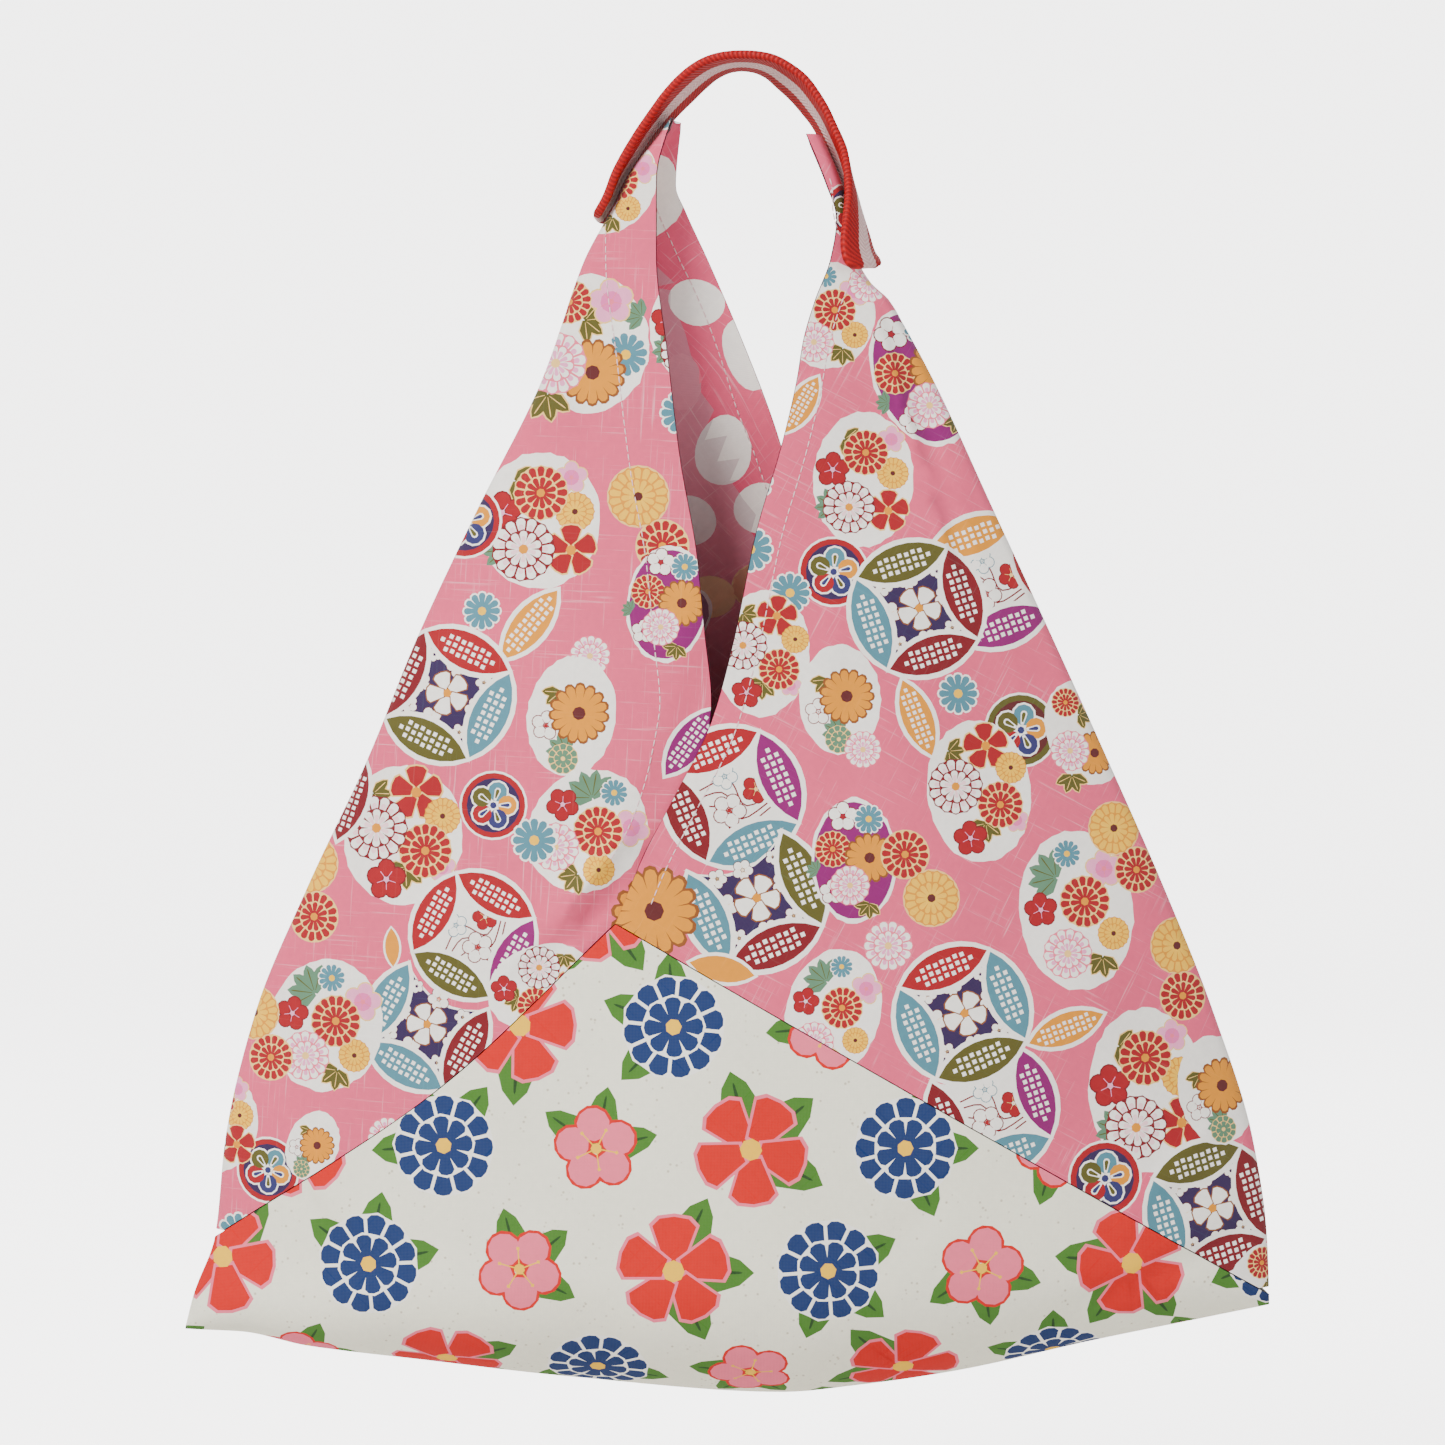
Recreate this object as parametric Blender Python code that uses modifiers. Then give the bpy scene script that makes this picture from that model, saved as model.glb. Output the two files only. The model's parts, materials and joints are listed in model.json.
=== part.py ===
"""Bento bag: two printed cloth panels folded corner to corner over a square base cloth, with a woven handle.

The bag hangs from its handle. The origin is the underside of the handle's top, +Z is up,
the front faces -Y and +X is to the viewer's right.
"""
import math

import bmesh
import bpy
import numpy as np

MM = 0.001

# Driving sizes
BAG_WIDTH = 434 * MM
BODY_HEIGHT = 503 * MM
BAG_DEPTH = 96 * MM
TIP_DROP = 27 * MM
BODY_SHIFT = -8 * MM
BOTTOM_RISE = 52 * MM
CLOTH = 1.0 * MM
HEM = 1.6 * MM
HEM_WIDTH = 24 * MM
SEAM_GAP = 0.4 * MM
LAP_DROP = 2.8 * MM
LAP_RAMP = 16 * MM
LAP_LEAD = 5 * MM
FOLD_REACH = 4 * MM
HANDLE_WIDTH = 25 * MM
HANDLE_THICK = 3.4 * MM
HANDLE_EDGE = 0.8 * MM
HANDLE_GAP = 0.9 * MM
FULLNESS = 0.8

HALF_WIDTH = BAG_WIDTH / 2
HALF_DEPTH = BAG_DEPTH / 2
TIP_Z = -TIP_DROP
BOTTOM_Z = TIP_Z - BODY_HEIGHT


def table(columns, *rows):
    """Rows under named columns, as one array whose columns are read by name."""
    return np.array(list(rows), dtype=[(name, float) for name in columns.split()])


# Every height is a share of BODY_HEIGHT above the bottom, and every left or right a share of HALF_WIDTH.
SIDES = table(
    "height left right",
    (0.000, -1.030, 1.005),
    (0.050, -1.000, 0.998),
    (0.077, -0.984, 0.997),
    (0.123, -0.945, 0.993),
    (0.200, -0.926, 0.967),
    (0.300, -0.871, 0.895),
    (0.400, -0.775, 0.803),
    (0.500, -0.666, 0.701),
    (0.600, -0.571, 0.596),
    (0.700, -0.462, 0.489),
    (0.800, -0.346, 0.382),
    (0.850, -0.304, 0.320),
    (0.866, -0.292, 0.298),
    (0.881, -0.280, 0.262),
    (0.900, -0.263, 0.238),
    (0.925, -0.232, 0.227),
    (0.945, -0.204, 0.220),
    (0.966, -0.182, 0.204),
    (1.000, -0.124, 0.170),
    (1.010, -0.108, 0.162),
)
TIPS = {"left": 1.010, "right": 0.996}
# rise is a share of BODY_HEIGHT
BOTTOM = table(
    "across rise",
    (-1.030, 0.050),
    (-1.000, 0.049),
    (-0.895, 0.047),
    (-0.773, 0.036),
    (-0.556, 0.025),
    (-0.285, 0.012),
    (0.099, 0.000),
    (0.240, 0.0056),
    (0.418, 0.0167),
    (0.665, 0.040),
    (0.875, 0.058),
    (1.005, 0.069),
)
# depth is a share of HALF_DEPTH, and fold a share of half the handle's width
FILL = table(
    "height depth fold",
    (0.00, 1.00, 0.21),
    (0.15, 1.00, 0.21),
    (0.30, 0.93, 0.21),
    (0.45, 0.76, 0.21),
    (0.60, 0.53, 0.22),
    (0.75, 0.32, 0.26),
    (0.90, 0.14, 0.55),
    (0.95, 0.09, 0.70),
    (1.00, 0.07, 0.70),
)
APEX = table("height front back", (0.375, -0.202, 0.202))[0]
CORNER = table("height left right", (0.123, -0.945, 0.993), (0.077, -0.984, 0.997))
LEFT_CORNER, RIGHT_CORNER = CORNER[0], CORNER[1]
# Seams between the base cloth and each panel, from the corner to the apex
SEAM_LEFT_FRONT = table(
    "height across", (0.123, -0.945), (0.246, -0.521), (0.375, -0.202)
)
SEAM_LEFT_BACK = table("height across", (0.123, -0.945), (0.249, -0.372), (0.375, 0.202))
SEAM_RIGHT_FRONT = table("height across", (0.077, 0.997), (0.226, 0.398), (0.375, -0.202))
SEAM_RIGHT_BACK = table("height across", (0.077, 0.997), (0.222, 0.640), (0.375, 0.202))
# Free edges of the two panels, from the apex up to the tip
EDGE_LEFT_FRONT = table(
    "height across",
    (0.375, -0.202),
    (0.403, -0.134),
    (0.451, -0.078),
    (0.499, -0.047),
    (0.547, -0.031),
    (0.600, -0.043),
    (0.664, -0.058),
    (0.738, -0.088),
    (0.823, -0.112),
    (0.900, -0.132),
    (0.960, -0.132),
    (1.010, -0.104),
)
EDGE_RIGHT_FRONT = table(
    "height across",
    (0.375, -0.202),
    (0.427, -0.152),
    (0.471, -0.099),
    (0.531, -0.030),
    (0.593, 0.010),
    (0.680, 0.052),
    (0.750, 0.099),
    (0.800, 0.126),
    (0.833, 0.139),
    (0.865, 0.161),
    (0.897, 0.189),
    (0.928, 0.200),
    (0.960, 0.178),
    (1.000, 0.140),
)
EDGE_LEFT_BACK = table(
    "height across",
    (0.375, 0.202),
    (0.467, 0.217),
    (0.531, 0.213),
    (0.594, 0.195),
    (0.658, 0.165),
    (0.722, 0.120),
    (0.770, 0.086),
    (0.833, 0.030),
    (0.897, -0.034),
    (0.940, -0.080),
    (0.960, -0.098),
    (1.010, -0.088),
)
EDGE_RIGHT_BACK = table(
    "height across",
    (0.375, 0.202),
    (0.403, 0.150),
    (0.451, 0.100),
    (0.547, 0.052),
    (0.664, 0.070),
    (0.738, 0.110),
    (0.823, 0.150),
    (0.865, 0.175),
    (0.928, 0.208),
    (0.960, 0.184),
    (1.000, 0.146),
)
# Soft folds of the front. swell is a share of HALF_DEPTH, reach one of HALF_WIDTH
FRONT_FOLDS = table(
    "x0 h0 x1 h1 reach swell",
    (-0.190, 0.440, -0.350, 0.352, 0.032, 0.110),
    (0.262, 0.860, 0.430, 0.610, 0.030, 0.050),
    (-0.330, 0.720, -0.560, 0.450, 0.090, 0.050),
    (0.300, 0.520, 0.560, 0.300, 0.110, 0.050),
    (-0.850, 0.190, -0.620, 0.090, 0.060, 0.080),
    (0.930, 0.160, 0.640, 0.090, 0.060, 0.060),
)
BACK_FOLDS = table(
    "x0 h0 x1 h1 reach swell",
    (0.300, 0.430, 0.430, 0.340, 0.045, 0.080),
    (0.300, 0.760, 0.560, 0.450, 0.090, 0.050),
    (-0.300, 0.520, -0.560, 0.300, 0.110, 0.050),
    (-0.850, 0.190, -0.620, 0.090, 0.060, 0.080),
    (0.930, 0.160, 0.640, 0.090, 0.060, 0.060),
)
# The free arch of the handle. across is a share of half the gap between the tips, rise one of the loop's rise
ARCH = table(
    "across rise twist",
    (-0.880, 0.215, -12),
    (-0.760, 0.385, -15),
    (-0.640, 0.542, -17),
    (-0.500, 0.698, -17),
    (-0.360, 0.833, -14),
    (-0.205, 0.938, -9),
    (-0.050, 0.990, -5),
    (0.060, 1.000, -4),
    (0.180, 0.990, -5),
    (0.335, 0.938, -9),
    (0.475, 0.833, -14),
    (0.620, 0.698, -17),
    (0.735, 0.542, -17),
    (0.835, 0.385, -15),
    (0.915, 0.215, -12),
)
# How the handle lies where it is sewn to each tip. twist turns its outer face to the front, cup is its
# bend, and slide moves it to the front by a share of its width
SEWN_LEFT = table(
    "height twist cup slide",
    (0.931, -6, 40, 0.0),
    (0.947, -8, 36, 0.0),
    (0.964, -10, 30, 0.0),
    (0.984, -11, 18, 0.0),
)
SEWN_RIGHT = table(
    "height twist cup slide",
    (0.891, 36, 36, 0.16),
    (0.905, 32, 38, 0.14),
    (0.925, 21, 34, 0.08),
    (0.945, 8, 28, 0.03),
    (0.965, -3, 22, 0.0),
    (0.985, -10, 14, 0.0),
)

PANEL_ROWS = 28
PANEL_COLUMNS = 16
FOLD_COLUMNS = 3
BASE_STATIONS = 32
BASE_RINGS = 8
HANDLE_STEPS = 2
HANDLE_ACROSS = 6

PINK = (0.80, 0.36, 0.42, 1.0)
CREAM = (0.86, 0.83, 0.74, 1.0)
RED = (0.70, 0.02, 0.03, 1.0)


def smooth(known, values, at):
    """A curve through the known points that never overshoots between them."""
    known, values, at = (np.asarray(a, float) for a in (known, values, at))
    step = np.diff(known)
    slope = np.diff(values) / step
    tangent = np.zeros(len(known))
    tangent[0], tangent[-1] = slope[0], slope[-1]
    same_way = slope[:-1] * slope[1:] > 0
    mean = 2 * slope[:-1] * slope[1:] / np.where(same_way, slope[:-1] + slope[1:], 1.0)
    tangent[1:-1] = np.where(same_way, mean, 0.0)
    at = np.clip(at, known[0], known[-1])
    i = np.clip(np.searchsorted(known, at, side="right") - 1, 0, len(step) - 1)
    t = (at - known[i]) / step[i]
    return (
        values[i] * (1 + 2 * t) * (1 - t) ** 2
        + tangent[i] * step[i] * t * (1 - t) ** 2
        + values[i + 1] * t**2 * (3 - 2 * t)
        + tangent[i + 1] * step[i] * t**2 * (t - 1)
    )


def read(rows, column, at, by="height"):
    """One column of a table at any height, or at any place across."""
    order = np.argsort(rows[by])
    return smooth(rows[by][order], rows[column][order], at)


def ease(t):
    t = np.clip(t, 0, 1)
    return t * t * (3 - 2 * t)


def to_x(across):
    return BODY_SHIFT + across * HALF_WIDTH


def to_z(height):
    return BOTTOM_Z + height * BODY_HEIGHT


def to_height(z):
    return (z - BOTTOM_Z) / BODY_HEIGHT


def side_x(side, z):
    return to_x(read(SIDES, side, to_height(z)))


def bottom_z(x):
    across = (x - BODY_SHIFT) / HALF_WIDTH
    return to_z(read(BOTTOM, "rise", across, by="across"))


def folds(rows, x, z):
    """How far the soft folds lift the cloth at a point."""
    lift = np.zeros_like(x)
    for fold in rows:
        start = np.array([to_x(fold["x0"]), to_z(fold["h0"])])
        along = np.array([to_x(fold["x1"]), to_z(fold["h1"])]) - start
        reach = fold["reach"] * HALF_WIDTH
        share = ((x - start[0]) * along[0] + (z - start[1]) * along[1]) / (along @ along)
        near = np.clip(share, 0, 1)
        distance = np.hypot(x - start[0] - near * along[0], z - start[1] - near * along[1])
        fade = np.where(share > 0.4, 1 - 0.7 * ease((near - 0.4) / 0.6), 1.0)
        lift += fold["swell"] * HALF_DEPTH * fade * np.exp(-((distance / reach) ** 2))
    return lift


def body_depth(x, z, rows):
    """Distance of the cloth's outer face from the bag's middle plane."""
    x, z = np.asarray(x, float), np.asarray(z, float)
    height = to_height(z)
    left, right = side_x("left", z), side_x("right", z)
    inside = np.clip(np.minimum(x - left, right - x), 0, None)
    belly = np.sin(math.pi / 2 * np.clip(2 * inside / (right - left), 0, 1)) ** FULLNESS
    nose = np.sqrt(1 - (1 - np.clip(inside / FOLD_REACH, 0, 1)) ** 2)
    fold = read(FILL, "fold", height) * HANDLE_WIDTH / 2 * nose
    depth = read(FILL, "depth", height) * HALF_DEPTH * belly
    rise = BOTTOM_RISE * (0.12 + 0.88 * belly)
    lift = np.clip((z - bottom_z(x)) / rise, 0, 1)
    under = np.sqrt(1 - (1 - lift) ** 2)
    return (fold + depth + folds(rows, x, z) * belly * lift) * under


def lap_drop(x, z, edge, towards):
    """How far a panel sinks to pass under the other panel, whose free edge is given."""
    height = to_height(z)
    past = towards * (x - to_x(read(edge, "across", height))) + LAP_RAMP + LAP_LEAD
    return LAP_DROP * ease(past / LAP_RAMP)


def seam_slip(seam):
    """Sideways shift that keeps half the seam's gap square to the seam."""
    run = (seam["across"][-1] - seam["across"][0]) * HALF_WIDTH
    climb = (seam["height"][-1] - seam["height"][0]) * BODY_HEIGHT
    return SEAM_GAP / 2 * math.hypot(run, climb) / climb


def open_surface(name, grid, closed_ends=False):
    """A quad surface over rows of points. Points that coincide are welded."""
    mesh = bmesh.new()
    rows = [[mesh.verts.new(point) for point in row] for row in grid]
    for low, high in zip(rows, rows[1:]):
        for a, b, c, d in zip(low, low[1:], high[1:], high):
            mesh.faces.new((a, b, c, d))
    if closed_ends:
        mesh.faces.new(rows[0][:-1][::-1])
        mesh.faces.new(rows[-1][:-1])
    bmesh.ops.remove_doubles(mesh, verts=mesh.verts, dist=0.00002)
    bmesh.ops.dissolve_degenerate(mesh, edges=mesh.edges, dist=0.00001)
    bmesh.ops.recalc_face_normals(mesh, faces=mesh.faces)
    data = bpy.data.meshes.new(name)
    mesh.to_mesh(data)
    mesh.free()
    piece = bpy.data.objects.new(name, data)
    return piece


def face_outwards(piece):
    """Turns an open shell so that its faces point away from the bag's middle plane."""
    mesh = bmesh.new()
    mesh.from_mesh(piece.data)
    outwards = sum(face.normal.y * face.calc_center_median().y for face in mesh.faces)
    if outwards < 0:
        bmesh.ops.reverse_faces(mesh, faces=mesh.faces)
    mesh.to_mesh(piece.data)
    mesh.free()


def thicken(piece, hem_weight=None):
    """Gives a cloth shell its wall, thicker where a hem is turned in."""
    solid = piece.modifiers.new("wall", "SOLIDIFY")
    solid.offset = -1
    solid.use_even_offset = True
    solid.thickness = CLOTH
    if hem_weight is not None:
        group = piece.vertex_groups.new(name="hem")
        for vertex in piece.data.vertices:
            group.add([vertex.index], float(hem_weight(vertex.co)), "REPLACE")
        solid.thickness = HEM
        solid.vertex_group = "hem"
        solid.thickness_vertex_group = CLOTH / HEM


def finish(piece, colour, roughness, collection):
    """Material, smooth shading and a place in the bag's collection."""
    material = bpy.data.materials.new(piece.name)
    material.use_nodes = True
    shader = material.node_tree.nodes["Principled BSDF"]
    shader.inputs["Base Color"].default_value = colour
    shader.inputs["Roughness"].default_value = roughness
    material.diffuse_color = colour
    piece.data.materials.append(material)
    piece.data.shade_smooth()
    collection.objects.link(piece)


def row_shares():
    """Column positions across half a panel, close together at the fold: 0 is the fold, 1 the free end."""
    bends = 1 - np.cos(np.linspace(0, math.pi / 2, FOLD_COLUMNS + 1))
    return bends, np.linspace(0, 1, PANEL_COLUMNS - FOLD_COLUMNS + 1)[1:]


def half_row(z, fold_x, end_x):
    """Places across one half of a panel at one height, from the fold to the free end."""
    bends, flat = row_shares()
    width = end_x - fold_x
    bend = math.copysign(min(FOLD_REACH, 0.45 * abs(width)), width)
    return np.concatenate([fold_x + bend * bends, fold_x + bend + (width - bend) * flat])


def panel_end(seam, edge, height, slip):
    if height < APEX["height"]:
        return to_x(float(read(seam, "across", height))) - slip
    return to_x(float(read(edge, "across", height)))


def panel_rows(side):
    """The levels of one panel: evenly spaced below the apex and above it."""
    corner = LEFT_CORNER if side == "left" else RIGHT_CORNER
    start = corner["height"] + 0.006
    below = max(3, round(PANEL_ROWS * (APEX["height"] - start) / (1 - start)))
    lower = np.linspace(start, APEX["height"] - 0.002, below)
    upper = np.linspace(APEX["height"], TIPS[side], PANEL_ROWS - below + 3)
    return np.concatenate([lower, upper])


def panel_surface(side):
    """Outer face of one printed panel: front half, fold along the bag's side, back half."""
    left = side == "left"
    seams = (SEAM_LEFT_FRONT, SEAM_LEFT_BACK) if left else (SEAM_RIGHT_FRONT, SEAM_RIGHT_BACK)
    edges = (EDGE_LEFT_FRONT, EDGE_LEFT_BACK) if left else (EDGE_RIGHT_FRONT, EDGE_RIGHT_BACK)
    outward = 1 if left else -1
    grid = []
    for height in panel_rows(side):
        z = to_z(height)
        fold_x = float(side_x(side, z))
        row = []
        for half, (seam, edge) in enumerate(zip(seams, edges)):
            slip = outward * seam_slip(seam)
            xs = half_row(z, fold_x, panel_end(seam, edge, height, slip))
            zs = np.full_like(xs, z)
            depth = body_depth(xs, zs, BACK_FOLDS if half else FRONT_FOLDS)
            if left and not half:
                depth = depth - lap_drop(xs, zs, EDGE_RIGHT_FRONT, 1)
            if half and not left:
                depth = depth - lap_drop(xs, zs, EDGE_LEFT_BACK, -1)
            depth[0] = 0
            ys = depth if half else -depth
            row.append([(x, y, z) for x, y in zip(xs, ys)])
        grid.append(row[0][:0:-1] + row[1])
    return grid


def hem_weight(side):
    """1 within the hem's width of a free edge, 0 beyond it."""
    left = side == "left"

    def weight(point):
        back = point.y > 0
        if left:
            edge = EDGE_LEFT_BACK if back else EDGE_LEFT_FRONT
        else:
            edge = EDGE_RIGHT_BACK if back else EDGE_RIGHT_FRONT
        height = to_height(point.z)
        if height < APEX["height"]:
            return 0.0
        reach = abs(point.x - to_x(float(read(edge, "across", height))))
        return 1.0 if reach < HEM_WIDTH else 0.0

    return weight


def printed_panel(side, collection):
    """One square of printed cloth, folded from its bottom corner to its tip."""
    piece = open_surface(f"{side}_panel", panel_surface(side))
    face_outwards(piece)
    thicken(piece, hem_weight(side))
    finish(piece, PINK, 0.85, collection)


def seam_height(seams, apex_across, across):
    """Height of the base cloth's seam at any place across."""
    left, right = seams
    if across <= apex_across:
        return float(read(left, "height", across, by="across"))
    return float(read(right, "height", across, by="across"))


def base_surface():
    """Outer face of the base cloth: from the front seam down, under the bag and up to the back seam."""
    shares = np.linspace(0, 1, BASE_STATIONS)
    shares = 0.5 - 0.5 * np.cos(math.pi * shares) * (0.6 + 0.4 * np.abs(np.cos(math.pi * shares)))
    turns = np.linspace(0, math.pi / 2, BASE_RINGS)
    climb = 1 - np.cos(turns)
    grid = []
    for share in shares:
        low_x = to_x(SIDES["left"][1] + share * (SIDES["right"][1] - SIDES["left"][1]))
        low_z = float(bottom_z(low_x))
        section = []
        for seams, apex, rows, way in (
            ((SEAM_LEFT_FRONT, SEAM_RIGHT_FRONT), APEX["front"], FRONT_FOLDS, -1),
            ((SEAM_LEFT_BACK, SEAM_RIGHT_BACK), APEX["back"], BACK_FOLDS, 1),
        ):
            first, last = LEFT_CORNER["left"], RIGHT_CORNER["right"]
            across = first + share * (last - first)
            top_x = to_x(across)
            steep = SEAM_GAP / 2 * 1.25
            top_z = to_z(seam_height(seams, apex, across)) - steep
            top_z = max(top_z, low_z + 2 * MM)
            xs = low_x + (top_x - low_x) * climb
            zs = low_z + (top_z - low_z) * climb
            depth = body_depth(xs, zs, rows)
            if share in (0.0, 1.0):
                depth = np.zeros_like(depth)
            depth[0] = 0
            section.append([(x, way * y, z) for x, y, z in zip(xs, depth, zs)])
        grid.append(section[0][:0:-1] + section[1])
    return grid


def base_cloth(collection):
    """The plain square under the bag, its diagonal running from corner to corner."""
    piece = open_surface("base_panel", base_surface())
    face_outwards(piece)
    thicken(piece)
    finish(piece, CREAM, 0.85, collection)


def nose_points(side, height):
    """The folded tip's outer face just below and at a height, measured from the fold's outermost line."""
    inward = 1 if side == "left" else -1
    steps = inward * np.linspace(0, 0.7 * HANDLE_WIDTH, 36)
    fold_x = float(side_x(side, to_z(height)))
    xs, ys = [], []
    for level in (to_z(height) - 0.7 * HANDLE_THICK, to_z(height)):
        x = float(side_x(side, level)) + steps
        depth = body_depth(x, np.full_like(x, level), FRONT_FOLDS)
        xs += [x - fold_x, x - fold_x]
        ys += [-depth, depth]
    return np.concatenate(xs), np.concatenate(ys)


def sewn_station(side, row):
    """Where the middle of the handle lies when it is sewn round a folded tip."""
    outward = -1 if side == "left" else 1
    twist = math.radians(row["twist"])
    out_dir = np.array([outward * math.cos(twist), -math.sin(twist)])
    across_dir = np.array([outward * math.sin(twist), math.cos(twist)])
    slide = row["slide"] * HANDLE_WIDTH
    nose_x, nose_y = nose_points(side, row["height"])
    out = nose_x * out_dir[0] + nose_y * out_dir[1]
    across = nose_x * across_dir[0] + nose_y * across_dir[1] + slide
    under = np.abs(across) < HANDLE_WIDTH / 2 + HANDLE_EDGE
    radius = HANDLE_WIDTH / math.radians(row["cup"])
    reach = np.max((out + across**2 / (2 * radius))[under])
    middle = reach + HANDLE_GAP + HANDLE_THICK / 2
    x, y = middle * out_dir - slide * across_dir
    z = to_z(row["height"])
    return (float(side_x(side, z)) + x, y, z, row["twist"], row["cup"])


def handle_stations():
    """Middle line of the handle with its twist and cup, from the left tip over to the right one."""
    left = [sewn_station("left", row) for row in SEWN_LEFT]
    right = [sewn_station("right", row) for row in SEWN_RIGHT[::-1]]
    tip_left, tip_right = left[-1], right[0]
    middle = (tip_left[0] + tip_right[0]) / 2
    half = (tip_right[0] - tip_left[0]) / 2
    top = HANDLE_THICK / 2
    arch = []
    for row in ARCH:
        foot = tip_left if row["across"] < 0 else tip_right
        z = foot[2] + (top - foot[2]) * row["rise"]
        fade = 1 - ease(row["rise"])
        twist = foot[3] * fade + row["twist"] * (1 - fade)
        arch.append((middle + half * row["across"], foot[1] * fade, z, twist, foot[4] * fade + 4))
    return np.array(left + arch + right)


def handle_surface():
    """Closed rounded strip swept along the handle's stations."""
    stations = handle_stations()
    known = np.arange(len(stations))
    fine = np.linspace(0, len(stations) - 1, (len(stations) - 1) * HANDLE_STEPS + 1)
    path = np.stack([smooth(known, stations[:, i], fine) for i in range(5)], axis=1)
    middle = path[:, :3]
    tangent = np.gradient(middle, axis=0)
    tangent /= np.linalg.norm(tangent, axis=1)[:, None]
    grid = []
    for point, along, (twist, cup) in zip(middle, tangent, path[:, 3:]):
        flat = np.array([0.0, 1.0, 0.0]) - along[1] * along
        flat /= np.linalg.norm(flat)
        out = np.cross(along, flat)
        turn = math.radians(twist)
        across = math.cos(turn) * flat + math.sin(turn) * out
        out = math.cos(turn) * out - math.sin(turn) * flat
        grid.append(handle_section(point, across, out, math.radians(cup)))
    return grid


def handle_section(point, across, out, cup):
    """One section of the handle: a strip bent to the cup angle, with softened edges."""
    radius = HANDLE_WIDTH / max(cup, 0.02)
    half = HANDLE_THICK / 2
    ring = []
    for face in (1, -1):
        for share in np.linspace(-face * 0.5, face * 0.5, HANDLE_ACROSS + 1):
            edge = abs(share) > 0.499
            inset = HANDLE_EDGE if edge else 0.0
            angle = share * cup
            lift = face * (half - inset)
            place = (radius + lift) * math.sin(angle)
            drop = (radius + lift) * math.cos(angle) - radius
            ring.append(point + across * place + out * drop)
    return ring + [ring[0]]


def handle_strip(collection):
    """The woven handle, sewn round the outside of both tips."""
    piece = open_surface("handle_strap", handle_surface(), closed_ends=True)
    finish(piece, RED, 0.6, collection)


def main():
    for item in list(bpy.data.objects):
        bpy.data.objects.remove(item)
    collection = bpy.data.collections.new("bento_bag")
    bpy.context.scene.collection.children.link(collection)
    printed_panel("left", collection)
    printed_panel("right", collection)
    base_cloth(collection)
    handle_strip(collection)


main()
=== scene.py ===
"""Visual model of the bento bag: printed cloth, seams, hems, stitches and the woven handle."""
import json
import math

import bpy
import numpy as np
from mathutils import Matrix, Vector
from mathutils.geometry import delaunay_2d_cdt

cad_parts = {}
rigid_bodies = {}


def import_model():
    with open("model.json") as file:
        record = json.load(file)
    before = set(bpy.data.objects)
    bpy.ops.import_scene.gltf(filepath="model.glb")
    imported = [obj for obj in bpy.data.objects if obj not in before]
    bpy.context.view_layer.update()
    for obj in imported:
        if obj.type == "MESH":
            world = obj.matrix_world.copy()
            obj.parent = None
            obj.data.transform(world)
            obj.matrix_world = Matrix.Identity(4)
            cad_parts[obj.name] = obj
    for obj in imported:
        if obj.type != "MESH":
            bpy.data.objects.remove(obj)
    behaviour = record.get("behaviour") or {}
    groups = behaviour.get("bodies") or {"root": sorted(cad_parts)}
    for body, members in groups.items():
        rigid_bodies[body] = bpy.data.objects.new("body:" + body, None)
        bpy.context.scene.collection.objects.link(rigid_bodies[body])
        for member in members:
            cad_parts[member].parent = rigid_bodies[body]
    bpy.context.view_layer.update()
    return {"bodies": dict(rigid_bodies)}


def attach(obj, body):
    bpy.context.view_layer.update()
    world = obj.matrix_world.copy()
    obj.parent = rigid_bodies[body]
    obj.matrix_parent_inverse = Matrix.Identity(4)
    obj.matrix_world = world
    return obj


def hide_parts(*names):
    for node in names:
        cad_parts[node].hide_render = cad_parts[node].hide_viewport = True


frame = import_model()

bl_info = {
    "name": "Bento bag",
    "version": (1, 0, 0),
    "blender": (4, 5, 0),
    "location": "View3D > Sidebar > Bento bag",
    "description": "Builds the printed cloths, stitches and woven handle of a bento bag",
    "category": "Add Mesh",
}

MM = 0.001

BAG_WIDTH = 434 * MM
BODY_HEIGHT = 503 * MM
BAG_DEPTH = 96 * MM
TIP_DROP = 27 * MM
BODY_SHIFT = -8 * MM
BOTTOM_RISE = 52 * MM
CLOTH = 1.0 * MM
HEM = 1.6 * MM
SEAM_GAP = 0.4 * MM
LAP_DROP = 2.8 * MM
LAP_RAMP = 16 * MM
LAP_LEAD = 5 * MM
FOLD_REACH = 4 * MM
HANDLE_WIDTH = 25 * MM
HANDLE_THICK = 3.4 * MM
HANDLE_EDGE = 0.8 * MM
HANDLE_GAP = 0.9 * MM
FULLNESS = 0.8

HALF_WIDTH = BAG_WIDTH / 2
HALF_DEPTH = BAG_DEPTH / 2
TIP_Z = -TIP_DROP
BOTTOM_Z = TIP_Z - BODY_HEIGHT

# The prints are charted on squares of this size. Column 748 and row 65 meet at the bag's origin.
SQUARE = 0.4 * MM
CHART_COLUMN = 748
CHART_ROW = 65


def table(columns, *rows):
    """Rows under named columns, as one array whose columns are read by name."""
    return np.array(list(rows), dtype=[(name, float) for name in columns.split()])


# Every height is a share of BODY_HEIGHT above the bottom, and every left or right a share of HALF_WIDTH.
SIDES = table(
    "height left right",
    (0.000, -1.030, 1.005),
    (0.050, -1.000, 0.998),
    (0.077, -0.984, 0.997),
    (0.123, -0.945, 0.993),
    (0.200, -0.926, 0.967),
    (0.300, -0.871, 0.895),
    (0.400, -0.775, 0.803),
    (0.500, -0.666, 0.701),
    (0.600, -0.571, 0.596),
    (0.700, -0.462, 0.489),
    (0.800, -0.346, 0.382),
    (0.850, -0.304, 0.320),
    (0.866, -0.292, 0.298),
    (0.881, -0.280, 0.262),
    (0.900, -0.263, 0.238),
    (0.925, -0.232, 0.227),
    (0.945, -0.204, 0.220),
    (0.966, -0.182, 0.204),
    (1.000, -0.124, 0.170),
    (1.010, -0.108, 0.162),
)
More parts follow.
